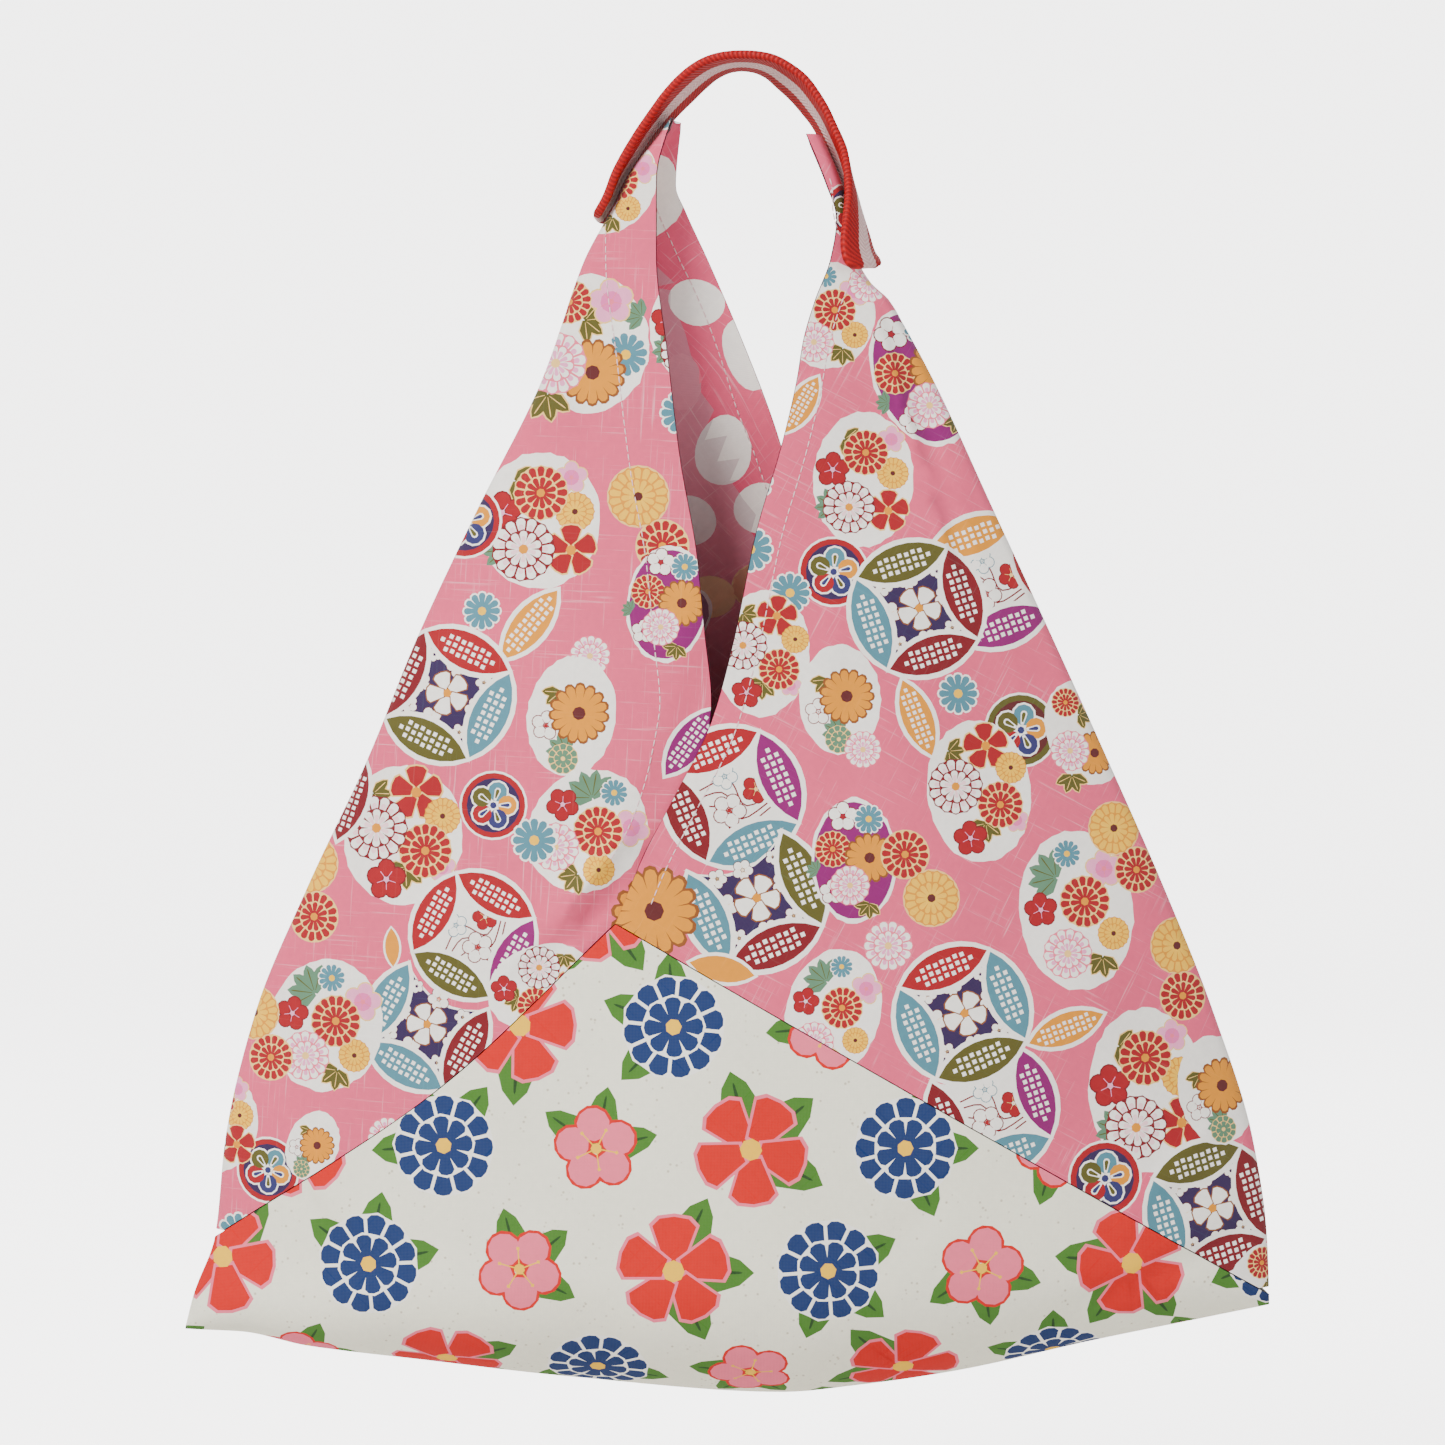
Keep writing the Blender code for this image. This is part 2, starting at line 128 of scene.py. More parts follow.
TIPS = {"left": 1.010, "right": 0.996}
# rise is a share of BODY_HEIGHT
BOTTOM = table(
    "across rise",
    (-1.030, 0.050),
    (-1.000, 0.049),
    (-0.895, 0.047),
    (-0.773, 0.036),
    (-0.556, 0.025),
    (-0.285, 0.012),
    (0.099, 0.000),
    (0.240, 0.0056),
    (0.418, 0.0167),
    (0.665, 0.040),
    (0.875, 0.058),
    (1.005, 0.069),
)
# depth is a share of HALF_DEPTH, and fold a share of half the handle's width
FILL = table(
    "height depth fold",
    (0.00, 1.00, 0.21),
    (0.15, 1.00, 0.21),
    (0.30, 0.93, 0.21),
    (0.45, 0.76, 0.21),
    (0.60, 0.53, 0.22),
    (0.75, 0.32, 0.26),
    (0.90, 0.14, 0.55),
    (0.95, 0.09, 0.70),
    (1.00, 0.07, 0.70),
)
APEX = table("height front back", (0.375, -0.202, 0.202))[0]
CORNER = table("height left right", (0.123, -0.945, 0.993), (0.077, -0.984, 0.997))
LEFT_CORNER, RIGHT_CORNER = CORNER[0], CORNER[1]
# Seams between the base cloth and each panel, from the corner to the apex
SEAM_LEFT_FRONT = table(
    "height across", (0.123, -0.945), (0.246, -0.521), (0.375, -0.202)
)
SEAM_LEFT_BACK = table("height across", (0.123, -0.945), (0.249, -0.372), (0.375, 0.202))
SEAM_RIGHT_FRONT = table("height across", (0.077, 0.997), (0.226, 0.398), (0.375, -0.202))
SEAM_RIGHT_BACK = table("height across", (0.077, 0.997), (0.222, 0.640), (0.375, 0.202))
# Free edges of the two panels, from the apex up to the tip
EDGE_LEFT_FRONT = table(
    "height across",
    (0.375, -0.202),
    (0.403, -0.134),
    (0.451, -0.078),
    (0.499, -0.047),
    (0.547, -0.031),
    (0.600, -0.043),
    (0.664, -0.058),
    (0.738, -0.088),
    (0.823, -0.112),
    (0.900, -0.132),
    (0.960, -0.132),
    (1.010, -0.104),
)
EDGE_RIGHT_FRONT = table(
    "height across",
    (0.375, -0.202),
    (0.427, -0.152),
    (0.471, -0.099),
    (0.531, -0.030),
    (0.593, 0.010),
    (0.680, 0.052),
    (0.750, 0.099),
    (0.800, 0.126),
    (0.833, 0.139),
    (0.865, 0.161),
    (0.897, 0.189),
    (0.928, 0.200),
    (0.960, 0.178),
    (1.000, 0.140),
)
EDGE_LEFT_BACK = table(
    "height across",
    (0.375, 0.202),
    (0.467, 0.217),
    (0.531, 0.213),
    (0.594, 0.195),
    (0.658, 0.165),
    (0.722, 0.120),
    (0.770, 0.086),
    (0.833, 0.030),
    (0.897, -0.034),
    (0.940, -0.080),
    (0.960, -0.098),
    (1.010, -0.088),
)
EDGE_RIGHT_BACK = table(
    "height across",
    (0.375, 0.202),
    (0.403, 0.150),
    (0.451, 0.100),
    (0.547, 0.052),
    (0.664, 0.070),
    (0.738, 0.110),
    (0.823, 0.150),
    (0.865, 0.175),
    (0.928, 0.208),
    (0.960, 0.184),
    (1.000, 0.146),
)
# Soft folds of the front. swell is a share of HALF_DEPTH, reach one of HALF_WIDTH
FRONT_FOLDS = table(
    "x0 h0 x1 h1 reach swell",
    (-0.190, 0.440, -0.350, 0.352, 0.032, 0.110),
    (0.262, 0.860, 0.430, 0.610, 0.030, 0.050),
    (-0.330, 0.720, -0.560, 0.450, 0.090, 0.050),
    (0.300, 0.520, 0.560, 0.300, 0.110, 0.050),
    (-0.850, 0.190, -0.620, 0.090, 0.060, 0.080),
    (0.930, 0.160, 0.640, 0.090, 0.060, 0.060),
)
BACK_FOLDS = table(
    "x0 h0 x1 h1 reach swell",
    (0.300, 0.430, 0.430, 0.340, 0.045, 0.080),
    (0.300, 0.760, 0.560, 0.450, 0.090, 0.050),
    (-0.300, 0.520, -0.560, 0.300, 0.110, 0.050),
    (-0.850, 0.190, -0.620, 0.090, 0.060, 0.080),
    (0.930, 0.160, 0.640, 0.090, 0.060, 0.060),
)
# The free arch of the handle. across is a share of half the gap between the tips, rise one of the loop's rise
ARCH = table(
    "across rise twist",
    (-0.880, 0.215, -12),
    (-0.760, 0.385, -15),
    (-0.640, 0.542, -17),
    (-0.500, 0.698, -17),
    (-0.360, 0.833, -14),
    (-0.205, 0.938, -9),
    (-0.050, 0.990, -5),
    (0.060, 1.000, -4),
    (0.180, 0.990, -5),
    (0.335, 0.938, -9),
    (0.475, 0.833, -14),
    (0.620, 0.698, -17),
    (0.735, 0.542, -17),
    (0.835, 0.385, -15),
    (0.915, 0.215, -12),
)
# How the handle lies where it is sewn to each tip. twist turns its outer face to the front, cup is its
# bend, and slide moves it to the front by a share of its width
SEWN_LEFT = table(
    "height twist cup slide",
    (0.931, -6, 40, 0.0),
    (0.947, -8, 36, 0.0),
    (0.964, -10, 30, 0.0),
    (0.984, -11, 18, 0.0),
)
SEWN_RIGHT = table(
    "height twist cup slide",
    (0.891, 36, 36, 0.16),
    (0.905, 32, 38, 0.14),
    (0.925, 21, 34, 0.08),
    (0.945, 8, 28, 0.03),
    (0.965, -3, 22, 0.0),
    (0.985, -10, 14, 0.0),
)


def smooth(known, values, at):
    """A curve through the known points that never overshoots between them."""
    known, values, at = (np.asarray(a, float) for a in (known, values, at))
    step = np.diff(known)
    slope = np.diff(values) / step
    tangent = np.zeros(len(known))
    tangent[0], tangent[-1] = slope[0], slope[-1]
    same_way = slope[:-1] * slope[1:] > 0
    mean = 2 * slope[:-1] * slope[1:] / np.where(same_way, slope[:-1] + slope[1:], 1.0)
    tangent[1:-1] = np.where(same_way, mean, 0.0)
    at = np.clip(at, known[0], known[-1])
    i = np.clip(np.searchsorted(known, at, side="right") - 1, 0, len(step) - 1)
    t = (at - known[i]) / step[i]
    return (
        values[i] * (1 + 2 * t) * (1 - t) ** 2
        + tangent[i] * step[i] * t * (1 - t) ** 2
        + values[i + 1] * t**2 * (3 - 2 * t)
        + tangent[i + 1] * step[i] * t**2 * (t - 1)
    )


def read(rows, column, at, by="height"):
    """One column of a table at any height, or at any place across."""
    order = np.argsort(rows[by])
    return smooth(rows[by][order], rows[column][order], at)


def ease(t):
    t = np.clip(t, 0, 1)
    return t * t * (3 - 2 * t)


def to_x(across):
    return BODY_SHIFT + across * HALF_WIDTH


def to_z(height):
    return BOTTOM_Z + height * BODY_HEIGHT


def to_height(z):
    return (z - BOTTOM_Z) / BODY_HEIGHT


def side_x(side, z):
    return to_x(read(SIDES, side, to_height(z)))


def bottom_z(x):
    across = (x - BODY_SHIFT) / HALF_WIDTH
    return to_z(read(BOTTOM, "rise", across, by="across"))


def folds(rows, x, z):
    """How far the soft folds lift the cloth at a point."""
    lift = np.zeros_like(x)
    for fold in rows:
        start = np.array([to_x(fold["x0"]), to_z(fold["h0"])])
        along = np.array([to_x(fold["x1"]), to_z(fold["h1"])]) - start
        reach = fold["reach"] * HALF_WIDTH
        share = ((x - start[0]) * along[0] + (z - start[1]) * along[1]) / (along @ along)
        near = np.clip(share, 0, 1)
        distance = np.hypot(x - start[0] - near * along[0], z - start[1] - near * along[1])
        fade = np.where(share > 0.4, 1 - 0.7 * ease((near - 0.4) / 0.6), 1.0)
        lift += fold["swell"] * HALF_DEPTH * fade * np.exp(-((distance / reach) ** 2))
    return lift


def body_depth(x, z, rows):
    """Distance of the cloth's outer face from the bag's middle plane."""
    x, z = np.asarray(x, float), np.asarray(z, float)
    height = to_height(z)
    left, right = side_x("left", z), side_x("right", z)
    inside = np.clip(np.minimum(x - left, right - x), 0, None)
    belly = np.sin(math.pi / 2 * np.clip(2 * inside / (right - left), 0, 1)) ** FULLNESS
    nose = np.sqrt(1 - (1 - np.clip(inside / FOLD_REACH, 0, 1)) ** 2)
    fold = read(FILL, "fold", height) * HANDLE_WIDTH / 2 * nose
    depth = read(FILL, "depth", height) * HALF_DEPTH * belly
    rise = BOTTOM_RISE * (0.12 + 0.88 * belly)
    lift = np.clip((z - bottom_z(x)) / rise, 0, 1)
    under = np.sqrt(1 - (1 - lift) ** 2)
    return (fold + depth + folds(rows, x, z) * belly * lift) * under


def lap_drop(x, z, edge, towards):
    """How far a panel sinks to pass under the other panel, whose free edge is given."""
    height = to_height(z)
    past = towards * (x - to_x(read(edge, "across", height))) + LAP_RAMP + LAP_LEAD
    return LAP_DROP * ease(past / LAP_RAMP)


def seam_slip(seam):
    """Sideways shift that keeps half the seam's gap square to the seam."""
    run = (seam["across"][-1] - seam["across"][0]) * HALF_WIDTH
    climb = (seam["height"][-1] - seam["height"][0]) * BODY_HEIGHT
    return SEAM_GAP / 2 * math.hypot(run, climb) / climb


def nose_points(side, height):
    """The folded tip's outer face just below and at a height, measured from the fold's outermost line."""
    inward = 1 if side == "left" else -1
    steps = inward * np.linspace(0, 0.7 * HANDLE_WIDTH, 36)
    fold_x = float(side_x(side, to_z(height)))
    xs, ys = [], []
    for level in (to_z(height) - 0.7 * HANDLE_THICK, to_z(height)):
        x = float(side_x(side, level)) + steps
        depth = body_depth(x, np.full_like(x, level), FRONT_FOLDS)
        xs += [x - fold_x, x - fold_x]
        ys += [-depth, depth]
    return np.concatenate(xs), np.concatenate(ys)


def sewn_station(side, row):
    """Where the middle of the handle lies when it is sewn round a folded tip."""
    outward = -1 if side == "left" else 1
    twist = math.radians(row["twist"])
    out_dir = np.array([outward * math.cos(twist), -math.sin(twist)])
    across_dir = np.array([outward * math.sin(twist), math.cos(twist)])
    slide = row["slide"] * HANDLE_WIDTH
    nose_x, nose_y = nose_points(side, row["height"])
    out = nose_x * out_dir[0] + nose_y * out_dir[1]
    across = nose_x * across_dir[0] + nose_y * across_dir[1] + slide
    under = np.abs(across) < HANDLE_WIDTH / 2 + HANDLE_EDGE
    radius = HANDLE_WIDTH / math.radians(row["cup"])
    reach = np.max((out + across**2 / (2 * radius))[under])
    middle = reach + HANDLE_GAP + HANDLE_THICK / 2
    x, y = middle * out_dir - slide * across_dir
    z = to_z(row["height"])
    return (float(side_x(side, z)) + x, y, z, row["twist"], row["cup"])


def handle_stations():
    """Middle line of the handle with its twist and cup, from the left tip over to the right one."""
    left = [sewn_station("left", row) for row in SEWN_LEFT]
    right = [sewn_station("right", row) for row in SEWN_RIGHT[::-1]]
    tip_left, tip_right = left[-1], right[0]
    middle = (tip_left[0] + tip_right[0]) / 2
    half = (tip_right[0] - tip_left[0]) / 2
    top = HANDLE_THICK / 2
    arch = []
    for row in ARCH:
        foot = tip_left if row["across"] < 0 else tip_right
        z = foot[2] + (top - foot[2]) * row["rise"]
        fade = 1 - ease(row["rise"])
        twist = foot[3] * fade + row["twist"] * (1 - fade)
        arch.append((middle + half * row["across"], foot[1] * fade, z, twist, foot[4] * fade + 4))
    return np.array(left + arch + right)


def slope_of(depth, x, z):
    """Depth and its two slopes at each point."""
    step = 0.3 * MM
    here = depth(x, z)
    across = (depth(x + step, z) - depth(x - step, z)) / (2 * step)
    up = (depth(x, z + step) - depth(x, z - step)) / (2 * step)
    return here, across, up


def chart(column, row):
    """A chart position in the print plane, in metres."""
    return np.stack([(column - CHART_COLUMN) * SQUARE, (CHART_ROW - row) * SQUARE], axis=-1)


def colour(red, green, blue):
    """A paint given as a screen colour, in the linear values that shaders use."""
    return tuple(((c + 0.055) / 1.055) ** 2.4 if c > 0.04 else c / 12.92 for c in (red, green, blue))


PAINTS = {
    "ground": colour(0.885, 0.325, 0.455),
    "canvas": colour(0.96, 0.95, 0.87),
    "white": colour(0.98, 0.97, 0.94),
    "red": colour(0.6, 0.03, 0.06),
    "wine": colour(0.43, 0.02, 0.05),
    "mustard": colour(0.86, 0.55, 0.03),
    "olive": colour(0.29, 0.31, 0.05),
    "teal": colour(0.24, 0.5, 0.56),
    "navy": colour(0.06, 0.09, 0.27),
    "magenta": colour(0.48, 0.02, 0.38),
    "rose": colour(0.95, 0.6, 0.76),
    "mint": colour(0.3, 0.5, 0.38),
    "brown": colour(0.3, 0.09, 0.07),
    "bright_red": colour(0.8, 0.04, 0.03),
    "bright_blue": colour(0.04, 0.17, 0.38),
    "leaf": colour(0.25, 0.45, 0.14),
    "pine": colour(0.1, 0.25, 0.09),
    "blush": colour(0.93, 0.42, 0.52),
    "straw": colour(0.95, 0.78, 0.45),
    "shell": colour(0.98, 0.82, 0.84),
    "pink": colour(0.9, 0.42, 0.66),
    "yellow": colour(0.96, 0.74, 0.16),
    "ochre": colour(0.5, 0.28, 0.04),
}
PAINT_NAMES = list(PAINTS)


def shape(points, paint):
    """One printed area: its outline in chart squares round the motif's middle, and its paint."""
    return np.asarray(points, float), paint


def turned(shapes, size, turn, column, row):
    """A motif's shapes scaled, turned and moved to a chart position."""
    c, s = math.cos(turn), math.sin(turn)
    spin = np.array([[c, s], [-s, c]])
    return [(size * points @ spin + (column, row), paint) for points, paint in shapes]


def ellipse(wide, high, count=12, at=(0, 0), phase=0.0):
    a = np.linspace(0, 2 * math.pi, count, endpoint=False) + phase
    return np.stack([wide * np.cos(a) + at[0], high * np.sin(a) + at[1]], axis=1)


def rough_round(radius, count, wobble, dice, high=1.0):
    a = np.linspace(0, 2 * math.pi, count, endpoint=False)
    r = radius * (1 + wobble * dice.uniform(-1, 1, count))
    return np.stack([r * np.cos(a), high * r * np.sin(a)], axis=1)


def petal(inner, outer, half, angle, at=(0, 0), pointed=False):
    """A petal from near the middle to the rim of a flower."""
    length = outer - inner
    side = [(0.0, 0.42), (0.78, 1.0), (0.95, 0.66)]
    if pointed:
        side = [(0.0, 0.35), (0.42, 1.0), (0.82, 0.55)]
    along = [inner + length * t for t, _ in side]
    width = [half * w for _, w in side]
    ring = list(zip(along, width)) + [(outer, 0.0)] + list(zip(along, [-w for w in width]))[::-1]
    c, s = math.cos(angle), math.sin(angle)
    return [(x * c - y * s + at[0], x * s + y * c + at[1]) for x, y in ring]


def scallop(radius, count, at=(0, 0), turn=0.0):
    """The wavy rim round a ring of petals."""
    a = np.arange(3 * count) * 2 * math.pi / (3 * count) + turn
    r = radius * np.where(np.arange(3 * count) % 3 == 0, 1.0, 0.955)
    return np.stack([r * np.cos(a) + at[0], r * np.sin(a) + at[1]], axis=1)


def kiku(paint, line, heart="mustard", count=14, at=(0, 0), size=1.0, tint=None, rows=2):
    """Chrysanthemum: rings of narrow petals with thin lines between them."""
    out = []
    ends = {1: ((0.14, 1.0),), 2: ((0.44, 1.0), (0.12, 0.60)), 3: ((0.60, 1.0), (0.34, 0.72), (0.08, 0.44))}[rows]
    for k, (inner, outer) in enumerate(ends):
        number = count if k == 0 else max(7, int(count * (0.72 if k == 1 else 0.5)))
        half = math.pi / number * (inner + 0.82 * (outer - inner)) * 0.98
        turn = 0.5 * k * 2 * math.pi / number
        out.append(shape(scallop((outer + 0.03) * size, number, at, turn), line))
        for i in range(number):
            a = i * 2 * math.pi / number + turn
            out.append(shape(petal(inner * size, (outer - 0.02) * size, (half - 0.035) * size, a, at), paint))
            if tint:
                middle = inner + 0.62 * (outer - inner)
                out.append(shape(petal(inner * size, middle * size, half * 0.45 * size, a, at), tint))
    out.append(shape(ellipse(0.16 * size, 0.16 * size, 7, at), heart))
    return out


def plum(paint, line, heart="mustard", at=(0, 0), size=1.0, tint=None):
    """Plum blossom: five round petals, a heart and fine stamens."""
    out = []
    fifth = 2 * math.pi / 5
    middles = [
        (at[0] + 0.56 * size * math.sin(i * fifth), at[1] - 0.56 * size * math.cos(i * fifth)) for i in range(5)
    ]
    for mid in middles:
        out.append(shape(ellipse(0.45 * size, 0.45 * size, 12, mid), line))
    for mid in middles:
        out.append(shape(ellipse(0.385 * size, 0.385 * size, 11, mid), paint))
    if tint:
        out.append(shape(ellipse(0.46 * size, 0.46 * size, 10, at), tint))
    for i in range(5):
        a = i * fifth + 0.3
        reach = 0.48 * size
        out.append(shape(ribbon([at, (at[0] + reach * math.cos(a), at[1] + reach * math.sin(a))], 0.03 * size, heart)[0], heart))
        dot = (at[0] + reach * math.cos(a), at[1] + reach * math.sin(a))
        out.append(shape(ellipse(0.05 * size, 0.05 * size, 4, dot), heart))
    out.append(shape(ellipse(0.13 * size, 0.13 * size, 7, at), heart))
    return out


def star_plum(paint, line, heart="mustard", at=(0, 0), size=1.0):
    """Blossom of five separate broad petals, each with a thin outline."""
    out = []
    for i in range(5):
        a = i * 2 * math.pi / 5 - math.pi / 2
        out.append(shape(petal(0.10 * size, 1.04 * size, 0.46 * size, a, at), line))
        out.append(shape(petal(0.17 * size, 0.98 * size, 0.395 * size, a, at), paint))
    out.append(shape(ellipse(0.20 * size, 0.20 * size, 8, at), heart))
    return out


def daisy(paint, line, heart="mustard", at=(0, 0), size=1.0, count=12, gap=0.05):
    """Flower of one ring of long narrow petals."""
    out = []
    half = math.pi / count * 0.80
    for i in range(count):
        a = i * 2 * math.pi / count
        out.append(shape(petal(0.10 * size, 1.06 * size, (half + gap) * size, a, at), line))
    for i in range(count):
        a = i * 2 * math.pi / count
        out.append(shape(petal(0.20 * size, 0.97 * size, (half - gap * 0.55) * size, a, at), paint))
    out.append(shape(ellipse(0.23 * size, 0.23 * size, 8, at), heart))
    return out


def leaf_fan(paint, vein, at=(0, 0), size=1.0, turn=0.0, count=5, line=None):
    """Lobed leaf with a vein in each lobe."""
    out = []
    spread = np.linspace(-1.15, 1.15, count) + turn
    if line:
        for a in spread:
            out.append(shape(petal(0.0, size * 1.06, 0.36 * size, a, at, True), line))
    for a in spread:
        out.append(shape(petal(0.0, size, 0.29 * size, a, at, True), paint))
    for a in spread:
        out.append(shape(petal(0.1 * size, 0.86 * size, 0.022 * size, a, at), vein))
    return out


FLOWERS = {
    "red_kiku": lambda at, size: kiku("red", "straw", at=at, size=size, count=16),
    "white_kiku": lambda at, size: kiku("white", "wine", "mustard", 15, at, size, "shell"),
    "rose_kiku": lambda at, size: kiku("white", "blush", "straw", 14, at, size, "rose"),
    "mint_kiku": lambda at, size: kiku("mint", "straw", "straw", 11, at, size),
    "puff": lambda at, size: kiku("yellow", "mustard", "brown", 18, at, size),
    "ume": lambda at, size: plum("red", "wine", "rose", at, size),
    "rose_plum": lambda at, size: plum("rose", "straw", "blush", at, size, "pink"),
    "white_plum": lambda at, size: plum("white", "wine", "red", at, size),
    "red_plum": lambda at, size: star_plum("red", "straw", "mustard", at, size),
    "teal_daisy": lambda at, size: daisy("teal", "white", "yellow", at, size, 12),
    "gold_daisy": lambda at, size: daisy("mustard", "ochre", "brown", at, size, 15, 0.03),
    "olive_leaf": lambda at, size: leaf_fan("olive", "straw", at, size, 0.4, 4, "straw"),
    "low_leaf": lambda at, size: leaf_fan("olive", "straw", at, size, 1.9, 4, "straw"),
    "mint_leaf": lambda at, size: leaf_fan("mint", "olive", at, size, 3.6, 5),
}

# What grows in each bouquet. Places and sizes are shares of the bouquet's radius
BOUQUETS = (
    (
        ("low_leaf", -0.72, 0.66, 0.44),
        ("olive_leaf", 0.00, -0.34, 0.36),
        ("mint_leaf", 0.92, -0.30, 0.30),
        ("rose_plum", 0.45, -0.56, 0.38),
        ("red_kiku", -0.22, -0.64, 0.36),
        ("teal_daisy", 0.60, 0.22, 0.36),
        ("gold_daisy", 0.04, 0.42, 0.52),
        ("rose_kiku", -0.54, 0.22, 0.50),
    ),
    (
        ("olive_leaf", -0.40, -0.58, 0.34),
        ("mint_leaf", -0.56, 0.42, 0.40),
        ("rose_plum", 0.52, -0.62, 0.28),
        ("ume", -0.62, -0.12, 0.36),
        ("puff", 0.58, -0.12, 0.32),
        ("red_kiku", 0.02, -0.40, 0.45),
        ("red_plum", 0.52, 0.44, 0.42),
        ("white_kiku", -0.26, 0.42, 0.52),
    ),
    (
        ("olive_leaf", -0.50, -0.60, 0.32),
        ("low_leaf", 0.06, 0.46, 0.36),
        ("rose_plum", 0.66, 0.46, 0.24),
        ("red_plum", 0.22, -0.62, 0.44),
        ("puff", 0.66, -0.28, 0.30),
        ("red_kiku", 0.38, 0.22, 0.44),
        ("ume", -0.26, 0.64, 0.34),
        ("white_kiku", -0.44, -0.10, 0.52),
    ),
    (
        ("mint_leaf", -0.30, -0.44, 0.50),
        ("low_leaf", 0.36, 0.62, 0.34),
        ("rose_plum", 0.56, -0.48, 0.34),
        ("puff", 0.60, 0.34, 0.28),
        ("teal_daisy", -0.06, -0.72, 0.24),
        ("red_kiku", 0.16, -0.10, 0.44),
        ("ume", -0.62, -0.06, 0.30),
        ("rose_kiku", -0.24, 0.52, 0.42),
    ),
    (
        ("mint_leaf", 0.00, 0.60, 0.46),
        ("low_leaf", -0.34, -0.36, 0.40),
        ("white_plum", -0.54, 0.22, 0.34),
        ("mint_kiku", -0.04, 0.72, 0.34),
        ("gold_daisy", 0.16, -0.06, 0.66),
    ),
    (
        ("mint_leaf", -0.86, 0.16, 0.26),
        ("low_leaf", 0.34, 0.70, 0.34),
        ("white_plum", -0.26, -0.70, 0.36),
        ("teal_daisy", 0.34, -0.66, 0.34),
        ("red_kiku", -0.50, -0.18, 0.42),
        ("white_plum", -0.52, 0.50, 0.30),
        ("gold_daisy", 0.36, -0.04, 0.56),
        ("rose_kiku", -0.10, 0.40, 0.46),
    ),
)


def bouquet(variant, dice, paint="white", high=1.12):
    """Rough-edged round or oval with flowers in it."""
    out = [shape(rough_round(1.0, 54, 0.02, dice, high), "white")]
    if paint != "white":
        out.append(shape(rough_round(0.93, 40, 0.01, dice, high), paint))
    for name, x, y, size in BOUQUETS[int(variant) % len(BOUQUETS)]:
        out += FLOWERS[name]((x, y * high), size)
    return out


def lens_ring(long, wide, count=9):
    """A pointed oval between two equal arcs."""
    radius = (long**2 + wide**2) / (2 * wide)
    x = np.linspace(-long, long, count)
    side = np.sqrt(radius**2 - x**2) - (radius - wide)
    return np.concatenate([np.stack([x, side], 1), np.stack([x, -side], 1)[-2:0:-1]])


def lens(length, width, paint, at=(0, 0), turn=0.0):
    """Pointed oval petal with a light edge and rows of small square dots."""
    out = [shape(lens_ring(length * 1.06, width * 1.16), "white"), shape(lens_ring(length * 0.95, width * 0.90), paint)]
    step = width * 0.35
    rows = int(length * 0.72 / step)
    for i in range(-rows, rows + 1):
        reach = width * 0.62 * math.cos(math.pi / 2 * abs(i) / (rows + 1)) ** 0.7
        for j in range(-2, 3):
            y = j * step + 0.12 * step * (i % 2)
            if abs(y) < reach:
                spot = (i * step, y)
                out.append(shape(ellipse(0.42 * step, 0.42 * step, 4, spot, math.pi / 4), "white"))
    return turned(out, 1.0, turn, *at)


# Paints of the four petals of a ring, from the lower right one round by the left, and the field between them
RINGS = (
    ("teal", "olive", "wine", "red", "navy"),
    ("magenta", "olive", "red", "red", "white"),
    ("wine", "teal", "olive", "wine", "navy"),
    ("magenta", "teal", "mustard", "red", "white"),
    ("teal", "wine", "red", "magenta", "white"),
    ("wine", "teal", "teal", "olive", "navy"),
    ("olive", "teal", "red", "teal", "navy"),
)


def shippo(variant, dice):
    """Ring of four dotted petals round a field of blossom. Tens in the variant leave out a shared petal."""
    paints = RINGS[int(variant) % 10]
    missing = int(variant) // 10 - 1
    quarter = math.pi / 2
    field = []
    for k in range(4):
        mid = (math.cos((k + 0.5) * quarter) * math.sqrt(2), math.sin((k + 0.5) * quarter) * math.sqrt(2))
        start = (math.cos(k * quarter), math.sin(k * quarter))
        turn_to = np.linspace(0, 1, 9)[:-1]
        opposite = math.atan2(start[1] - mid[1], start[0] - mid[0])
        sweep = opposite - turn_to * quarter
        field += list(zip(mid[0] + np.cos(sweep), mid[1] + np.sin(sweep)))
    field = np.array(field)
    out = [shape(field * 1.06, "white"), shape(field * 0.96, paints[4])]
    if paints[4] == "navy":
        blooms = ((-0.34, 0.26, 0.19), (0.34, 0.34, 0.17), (0.30, -0.34, 0.18), (-0.58, -0.06, 0.14), (0.0, 0.58, 0.13))
        for x, y, size in blooms + ((0.58, 0.02, 0.13), (-0.30, -0.30, 0.15), (0.02, -0.62, 0.11)):
            out += plum("white", "brown", "straw", (x, y), size)
        out += star_plum("white", "ochre", "mustard", (0.02, -0.02), 0.32)
    else:
        for bend in (-0.20, 0.0, 0.22):
            run = curve([(-0.55, 0.30 + bend * 0.6), (-0.15, bend), (0.20, 0.25 + bend), (0.55, -0.20 + bend * 0.6)], 14)
            out.append(ribbon(run, 0.022, "wine"))
        out += plum("white", "teal", "teal", (-0.22, -0.22), 0.19)
        out += plum("red", "wine", "straw", (0.26, -0.22), 0.21)
        out += plum("white", "wine", "red", (0.02, 0.20), 0.25)
    for k in range(4):
        if k == missing:
            continue
        a = (k + 0.5) * quarter
        mid = (math.sqrt(0.5) * math.cos(a), math.sqrt(0.5) * math.sin(a))
        out += lens(math.sqrt(0.5), 1 - math.sqrt(0.5), paints[k], mid, a + quarter)
    return out


